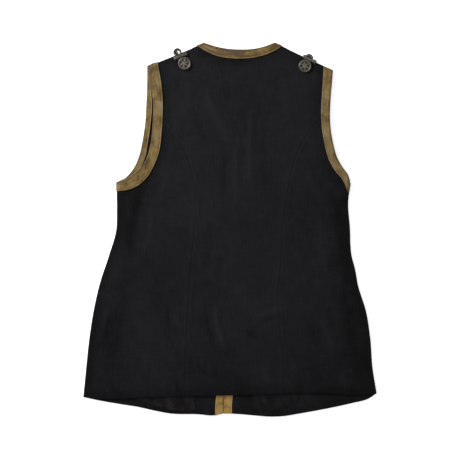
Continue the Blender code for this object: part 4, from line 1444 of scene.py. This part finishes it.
class RowTree:
    """A Geometry Nodes tree that sets small pieces at even steps along curves."""

    KINDS = (("Geometry", "Geometry"), ("Step", "Float"), ("Length", "Float"), ("Width", "Float"),
             ("Height", "Float"), ("Finish", "Material"))
    SIZES_VARY = (0.86, 1.12)
    SEED = 11

    def __init__(self, name: str, grain: Grain) -> None:
        """Build the tree and keep the identifier of each named input."""
        self.tree = bpy.data.node_groups.new(name, "GeometryNodeTree")
        face, sheet = self.tree.interface, NodeSheet(self.tree)
        self.identifiers = {
            title: face.new_socket(name=title, in_out="INPUT", socket_type="NodeSocket" + kind).identifier
            for title, kind in self.KINDS}
        face.new_socket(name="Geometry", in_out="OUTPUT", socket_type="NodeSocketGeometry")
        given, result = sheet.add("NodeGroupInput").outputs, sheet.add("NodeGroupOutput")
        points = sheet.add("GeometryNodeCurveToPoints",
                           {"Curve": given["Geometry"], "Length": given["Step"]}, mode="LENGTH").outputs
        segments, rings = grain.value
        ball = sheet.add("GeometryNodeMeshUVSphere", {"Segments": segments, "Rings": rings, "Radius": 0.5})
        size = sheet.add("ShaderNodeCombineXYZ", {index: given[title] for index, title
                                                  in enumerate(("Width", "Height", "Length"))})
        shape = sheet.add("GeometryNodeTransform", {"Geometry": ball.outputs[0], "Scale": size.outputs[0]})
        low, high = self.SIZES_VARY
        vary = sheet.add("FunctionNodeRandomValue", {2: low, 3: high, "Seed": self.SEED}, data_type="FLOAT")
        placed = sheet.add("GeometryNodeInstanceOnPoints", {
            "Points": points["Points"], "Instance": shape.outputs[0], "Rotation": points["Rotation"],
            "Scale": vary.outputs[1]})
        real = sheet.add("GeometryNodeRealizeInstances", {0: placed.outputs[0]})
        smooth_faces = sheet.add("GeometryNodeSetShadeSmooth", {0: real.outputs[0]})
        dressed = sheet.add("GeometryNodeSetMaterial", {"Geometry": smooth_faces.outputs[0],
                                                        "Material": given["Finish"]})
        sheet.feed(result.inputs[0], dressed.outputs[0])

    def lay(self, name: str, lines: Sequence[Array], size: RowSize, closed: bool, finish: Material) -> Thing:
        """Set the pieces along lines.

        Args:
            name: Name of the row.
            lines: Lines of x, y, z in millimetres.
            size: Step and sizes of the row.
            closed: Whether each line runs back to its start.
            finish: Material of the row.

        Returns:
            A plain mesh object.
        """
        curve = bpy.data.curves.new(name, "CURVE")
        curve.dimensions = "3D"
        curve.twist_mode = "Z_UP"
        for line in lines:
            spline = curve.splines.new("POLY")
            spline.points.add(len(line) - 1)
            spline.points.foreach_set("co", raised(line * MM, np.ones(len(line))).astype(np.float32).ravel())
            spline.use_cyclic_u = closed
        thing = linked(name, curve)
        row = thing.modifiers.new("row", "NODES")
        row.node_group = self.tree
        for title in ("Step", "Length", "Width", "Height"):
            row[self.identifiers[title]] = getattr(size, title.lower()) * MM
        row[self.identifiers["Finish"]] = finish
        return baked(thing)


def merged(name: str, things: Sequence[Thing]) -> Thing:
    """Join mesh objects at the origin into one new object."""
    work = bmesh.new()
    for thing in things:
        work.from_mesh(thing.data)
    mesh = bpy.data.meshes.new(name)
    work.to_mesh(mesh)
    work.free()
    for thing in things:
        bpy.data.objects.remove(thing)
    mesh.shade_smooth()
    return linked(name, mesh)


def ring_of(radius: float, height: float, centre: Pair = (0.0, 0.0), count: int = 64) -> Array:
    """Return a level circle of x, y, z."""
    turns = np.linspace(0.0, 2 * math.pi, count, endpoint=False)
    return np.stack([centre[0] + radius * np.cos(turns), centre[1] + radius * np.sin(turns),
                     np.full(count, height)], axis=1)


def tube_mesh(rings: Array, capped: bool) -> bpy.types.Mesh:
    """Skin rings of points, closed round and either capped at both ends or joined end to end.

    Args:
        rings: Rings of points of x, y, z in millimetres.
        capped: True for two end caps, False for a loop of rings.

    Returns:
        The mesh, with its faces outwards.
    """
    work = bmesh.new()
    verts = [[work.verts.new(point) for point in (ring * MM).tolist()] for ring in rings]
    count, around = len(verts), len(verts[0])
    for index in range(count - 1 if capped else count):
        one, two = verts[index], verts[(index + 1) % count]
        for step in range(around):
            after = (step + 1) % around
            work.faces.new((one[step], one[after], two[after], two[step]))
    if capped:
        work.faces.new(verts[0])
        work.faces.new(verts[-1])
    bmesh.ops.recalc_face_normals(work, faces=work.faces)
    mesh = bpy.data.meshes.new("tube")
    work.to_mesh(mesh)
    work.free()
    mesh.shade_smooth()
    return mesh


@dataclass(frozen=True)
class Clasp:
    """A shoulder clasp: a plate with a beaded eye, a crossbar with round ends and a domed disc.

    Turns are in degrees. The bar and the disc share one turn, and the plate has its own. The disc's dome,
    ridges, boss, petals and pits are shares of its height; a petal and a pit have their place from the
    middle, their width and their height, and a ring of beads its radius and how deep it is sunk.
    """

    side: Side
    x: float
    y: float
    turn: float
    slide: float
    plate_turn: float
    reach: float
    eye: Pair
    plate_bottom: float = 7.5
    plate_top: float = 8.7
    plate_length: float = 34.0
    half_width: float = 8.4
    tail_half_width: float = 9.0
    scallop: float = 0.35
    scallops: int = 9
    plate_profile: Rows = ((0.0, 0.0), (0.0, 0.75), (0.10, 0.98), (0.2, 1.0), (0.27, 0.8), (0.34, 0.62),
                           (0.62, 0.6), (0.7, 0.78), (0.8, 1.12), (0.92, 1.12), (1.0, 0.8), (1.0, 0.0))
    eye_place: float = 10.7
    eye_shift: float = 2.2
    eye_bead: float = 1.1
    eye_bead_out: float = 0.9
    eye_bead_step: float = 1.375
    eye_bead_lift: float = 0.15
    head_bead: float = 4.1
    head_beads: int = 8
    head_bead_inset: float = 0.1
    head_bead_sunk: float = 0.2
    bead_height: float = 0.65
    bar_bottom: float = 8.6
    bar_top: float = 11.2
    bar_place: float = 16.0
    bar_half: float = 14.6
    bar_half_width: float = 3.6
    lobe: float = 3.7
    lobe_caps: Pair = (0.12, 1.3)
    lobe_join: float = 2.3
    ridge_pitch: float = 2.6
    ridges_wide: Pair = (0.80, 0.12)
    ridges_tall: Pair = (0.70, 0.10)
    collar_height: float = 0.55
    collar_place: float = 3.3
    collar_width: float = 0.5
    bar_beads: RowSize = RowSize(1.1, 0.8, 0.8, 0.8)
    bar_bead_ring: float = 1.7
    bar_bead_sunk: float = 0.35
    disc_bottom: float = 8.8
    disc_height: float = 2.5
    disc_radius: float = 12.5
    disc_bands: Rows = ((12.5, 9.2, 12), (8.9, 3.2, 18), (3.0, 0.12, 9))
    dome: Pair = (0.62, 0.12)
    dome_edge: tuple[float, float, float] = (11.9, 0.6, 0.34)
    ridges: tuple[tuple[float, Ramp], ...] = ((11.3, Ramp(0.35, 0.7, 0.30)), (9.5, Ramp(0.1, 0.5, 0.16)))
    boss_radius: float = 3.6
    boss_height: float = 0.22
    petals: int = 6
    petal: tuple[float, float, float] = (6.2, 2.2, 0.10)
    pit: tuple[float, float, float] = (6.9, 1.7, 0.42)
    bead_level: float = 0.92
    rim_beads: RowSize = RowSize(1.75, 1.35, 1.35, 1.0)
    rim_ring: Pair = (10.4, 0.25)
    boss_beads: RowSize = RowSize(1.15, 0.85, 0.85, 0.7)
    boss_ring: Pair = (4.0, 0.4)

    def piece(self, kind: str, parts: Sequence[Thing], silver: Material) -> None:
        node = f"clasp_{kind}_{self.side.word}"
        thing = merged(node + "_silver", parts)
        turn = self.plate_turn if kind == "plate" else self.turn
        thing.data.transform(Matrix.Translation((self.x * MM, self.y * MM, 0.0))
                             @ Matrix.Rotation(math.radians(turn), 4, "Z"))
        declare(thing, (node,), silver)

    @staticmethod
    def skinned(rings: Sequence[Array], capped: bool) -> Thing:
        """Return rings of points skinned as one part."""
        return linked("clasp_part", tube_mesh(np.array(rings), capped))

    def border(self, count: int = 72) -> Array:
        """Return the plate's outline in plan: straight sides that widen to a round scalloped head."""
        turns = np.radians(np.linspace(-38, 218, count))
        waves = np.cos(self.scallops * np.linspace(0, 2 * math.pi, count))
        radius = self.half_width - self.scallop + self.scallop * waves
        middle = self.reach - self.half_width
        head = np.stack([radius * np.cos(turns), middle + radius * np.sin(turns)], axis=1)
        tail, half = self.reach - self.plate_length, self.tail_half_width
        return np.concatenate([head, ((-half, tail), (half, tail))])

    def eye_ring(self, turns: Array, out: float) -> Array:
        """Return the eye's outline at given turns, moved outwards."""
        return np.stack([self.eye_shift + (self.eye[0] + out) * np.cos(turns),
                         self.reach - self.eye_place + (self.eye[1] + out) * np.sin(turns)], axis=1)

    def beyond_bar(self, flat: Array) -> Array:
        """Return how far points of the plate lie past the bar's far side."""
        lean = math.radians(self.turn - self.plate_turn)
        return flat @ np.array((-math.sin(lean), math.cos(lean))) - self.bar_place - self.bar_half_width

    def plate(self, beads: RowTree, silver: Material) -> None:
        """Make the plate: rounded rims at its border and eye, a sunk field between and rows of beads."""
        outer = self.border()
        turns = np.arctan2(outer[:, 1] - (self.reach - self.eye_place), outer[:, 0] - self.eye_shift)
        eye, height = self.eye_ring(turns, 0.0), self.plate_top - self.plate_bottom
        parts = [self.skinned([raised(outer * (1 - share) + eye * share,
                                      np.full(len(outer), self.plate_bottom + rise * height))
                               for share, rise in self.plate_profile], capped=False)]
        small, large = self.eye_bead, self.head_bead
        turns = np.linspace(-math.pi / 2, 1.5 * math.pi, 240, endpoint=False)
        head_radius, middle = self.half_width - large / 2, (0.0, self.reach - self.half_width)
        head = ring_of(head_radius - self.head_bead_inset, 0.0, middle, len(turns))[:, :2]
        head_step = 2 * math.pi * head_radius / self.head_beads
        for flat, bead, step, level in (
                (self.eye_ring(turns, self.eye_bead_out), small, self.eye_bead_step,
                 self.plate_top + self.eye_bead_lift),
                (head, large, head_step, self.plate_top - self.head_bead_sunk)):
            flat = np.roll(flat, -int(np.argmin(flat[:, 1])), axis=0)
            flat = flat[self.beyond_bar(flat) > bead / 2]
            if len(flat) > 2:
                parts.append(beads.lay("beads_plate", [raised(flat, np.full(len(flat), level))],
                                       RowSize(step, bead, bead, self.bead_height * bead), False, silver))
        self.piece("plate", parts, silver)

    def bar(self, beads: RowTree, silver: Material) -> None:
        """Make the crossbar: a ridged rod that swells to a ringed ball at each end."""
        centre = self.bar_half - self.lobe
        cap = self.lobe * (1 - np.cos(np.linspace(*self.lobe_caps, 9)))
        rod = centre - self.lobe_join - 0.1
        x = np.concatenate([cap - self.bar_half, np.linspace(-rod, rod, 33), (self.bar_half - cap)[::-1]])
        ball = np.sqrt(np.clip(self.lobe**2 - (np.abs(x) - centre)**2, 0.04, None))
        beyond = (np.abs(x) - centre + self.collar_place) / self.collar_width
        collar = self.collar_height * np.exp(-beyond**2)
        ridges = np.cos(x * 2 * math.pi / self.ridge_pitch)
        wide, tall = (share + ridge * ridges for share, ridge in (self.ridges_wide, self.ridges_tall))
        inside, half_tall = np.abs(x) < centre - self.lobe_join, (self.bar_top - self.bar_bottom) / 2
        half = np.where(inside, self.bar_half_width * wide + collar, ball)
        rise = np.where(inside, half_tall * tall + 0.5 * collar, half_tall * ball / self.lobe)
        turns = np.linspace(0.0, 2 * math.pi, 20, endpoint=False)
        rings = np.stack([np.repeat(x[:, None] + self.slide, len(turns), axis=1),
                          self.bar_place + half[:, None] * np.cos(turns),
                          self.bar_bottom + rise[:, None] * (1 + np.sin(turns))], axis=2)
        parts = [self.skinned(rings, capped=True)]
        for end in (-1, 1):
            ring = ring_of(self.bar_bead_ring, self.bar_top - self.bar_bead_sunk,
                           (self.slide + end * centre, self.bar_place), 24)
            parts.append(beads.lay("beads_bar", [ring], self.bar_beads, True, silver))
        self.piece("bar", parts, silver)

    def disc(self, beads: RowTree, silver: Material) -> None:
        """Make the disc: a beaded rim, a groove, a ring of plain petals and a boss."""
        radii = np.concatenate([np.linspace(*band) for band in self.disc_bands])
        angles = np.linspace(0.0, 2 * math.pi, 96, endpoint=False)
        (level, rise), (edge, run, drop) = self.dome, self.dome_edge
        dome = level + rise * (1 - (radii / self.disc_radius)**2) - drop * ease((radii - edge) / run)
        rim = sum(ramp.at(np.abs(radii - place)) for place, ramp in self.ridges)
        boss = self.boss_height * np.sqrt(np.clip(1 - (radii / self.boss_radius)**2, 0, 1))
        waves = np.abs(np.cos(angles * self.petals / 2))[None]
        petal, pit = (height * np.exp(-((radii[:, None] - place) / width)**2)
                      for place, width, height in (self.petal, self.pit))
        relief = (dome + rim + boss)[:, None] + petal * waves**2 - pit * (1 - waves)**0.8
        relief = np.concatenate([np.zeros((1, len(angles))), relief])
        radii = np.concatenate([[self.disc_radius], radii])[:, None]
        rings = np.stack([radii * np.cos(angles), radii * np.sin(angles),
                          self.disc_bottom + self.disc_height * relief], axis=2)
        parts = [self.skinned(rings, capped=True)]
        for name, (radius, sunk), count, size in (("beads_rim", self.rim_ring, 120, self.rim_beads),
                                                  ("beads_boss", self.boss_ring, 48, self.boss_beads)):
            ring = ring_of(radius, self.disc_bottom + self.disc_height * self.bead_level - sunk, count=count)
            parts.append(beads.lay(name, [ring], size, True, silver))
        self.piece("disc", parts, silver)


CLASPS = (
    Clasp(Side.LEFT, -88.5, 323.6, 23.0, -1.6, 32.0, 34.3, (1.7, 4.1)),
    Clasp(Side.RIGHT, 145.6, 318.6, -27.0, 2.0, -27.0, 26.0, (1.7, 1.6)),
)


@dataclass(frozen=True)
class Studio:
    """A white floor, soft lights and a camera straight above, in metres."""

    camera_height: float = 2.5
    frame_width: float = 0.897
    sensor: float = 36.0
    floor_half: float = 3.0
    floor_drop: float = 0.0002
    floor_grey: float = 0.86
    floor_glow: float = 0.5
    world: float = 0.30
    white: Colour = (1.0, 1.0, 1.0, 1.0)
    lights: tuple[tuple[str, tuple[float, float, float], float, float], ...] = (
        ("key", (-1.5, 1.2, 1.0), 0.8, 70.0), ("fill", (1.3, -0.8, 2.0), 1.6, 12.0),
        ("top", (0.0, 0.3, 2.9), 2.2, 14.0))

    def floor(self) -> None:
        """Lay the floor."""
        mesh = bpy.data.meshes.new("floor")
        half, level = self.floor_half, -self.floor_drop
        mesh.from_pydata([(-half, -half, level), (half, -half, level), (half, half, level),
                          (-half, half, level)], [], [(0, 1, 2, 3)])
        paper = bpy.data.materials.new("floor_paper")
        paper.use_nodes = True
        shader = paper.node_tree.nodes["Principled BSDF"]
        for title, value in (("Base Color", (self.floor_grey,) * 3 + (1.0,)), ("Roughness", 0.9),
                             ("Specular IOR Level", 0.1), ("Emission Color", self.white),
                             ("Emission Strength", self.floor_glow)):
            shader.inputs[title].default_value = value
        mesh.materials.append(paper)
        linked("floor", mesh)

    def light(self, name: str, place: tuple[float, float, float], size: float, power: float) -> None:
        """Hang one square light that looks at the vest."""
        lamp = bpy.data.lights.new(name, "AREA")
        lamp.size, lamp.energy = size, power
        thing = linked(name, lamp)
        thing.location = place
        thing.rotation_euler = (-Vector(place)).to_track_quat("-Z", "Y").to_euler()

    def camera(self) -> None:
        """Set the camera straight above the middle of the vest."""
        lens = bpy.data.cameras.new("camera")
        lens.sensor_width = self.sensor
        lens.lens = self.sensor * self.camera_height / self.frame_width
        thing = linked("camera", lens)
        thing.location = (0.0, 0.0, self.camera_height)
        bpy.context.scene.camera = thing

    def build(self) -> None:
        """Make the floor, the lights, the camera and the pale surroundings."""
        self.floor()
        for row in self.lights:
            self.light(*row)
        self.camera()
        world = bpy.data.worlds.new("studio")
        world.use_nodes = True
        background = world.node_tree.nodes["Background"]
        background.inputs["Color"].default_value = self.white
        background.inputs["Strength"].default_value = self.world
        bpy.context.scene.world = world
        bpy.context.scene.view_settings.view_transform = "Standard"


def main() -> None:
    """Build the vest's looks in order, and write how large they are."""
    logging.basicConfig(level=logging.INFO, format="%(name)s: %(message)s")
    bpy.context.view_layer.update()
    groups = FinishGroups()
    wool, lining = WoolFinish().make(groups), LiningFinish().make(groups)
    ribbon = RibbonFinish().make(groups)
    front_ribbon = RibbonFinish("front_ribbon", gold=(0.260, 0.150, 0.033, 1.0),
                                pale=(0.300, 0.200, 0.072, 1.0)).make(groups)
    thread = ThreadFinish("gold_thread", (0.26, 0.17, 0.06, 1.0)).make(groups)
    for panel in PANELS:
        panel.build(OUTLINE, wool)
    for strip in LININGS:
        strip.build(OUTLINE, lining)
    lines: list[Array] = []
    for binding in RIBBONS:
        satin = front_ribbon if binding.node.startswith("front_edge") else ribbon
        lines += binding.build(OUTLINE, RibbonShape(), satin)
    stitches = RowTree("stitch_row", Grain.STITCH).lay("ribbon_stitches", lines, STITCH_SIZE, False, thread)
    declare(stitches, (), thread)
    beads = RowTree("bead_row", Grain.BEAD)
    plate_silver, bar_silver, disc_silver = (SilverFinish(*row).make(groups) for row in SILVERS)
    for clasp in CLASPS:
        clasp.plate(beads, plate_silver)
        clasp.bar(beads, bar_silver)
        clasp.disc(beads, disc_silver)
        LOG.info("clasp on the %s shoulder set", clasp.side.word)
    Studio().build()


if __name__ == "__main__":
    main()
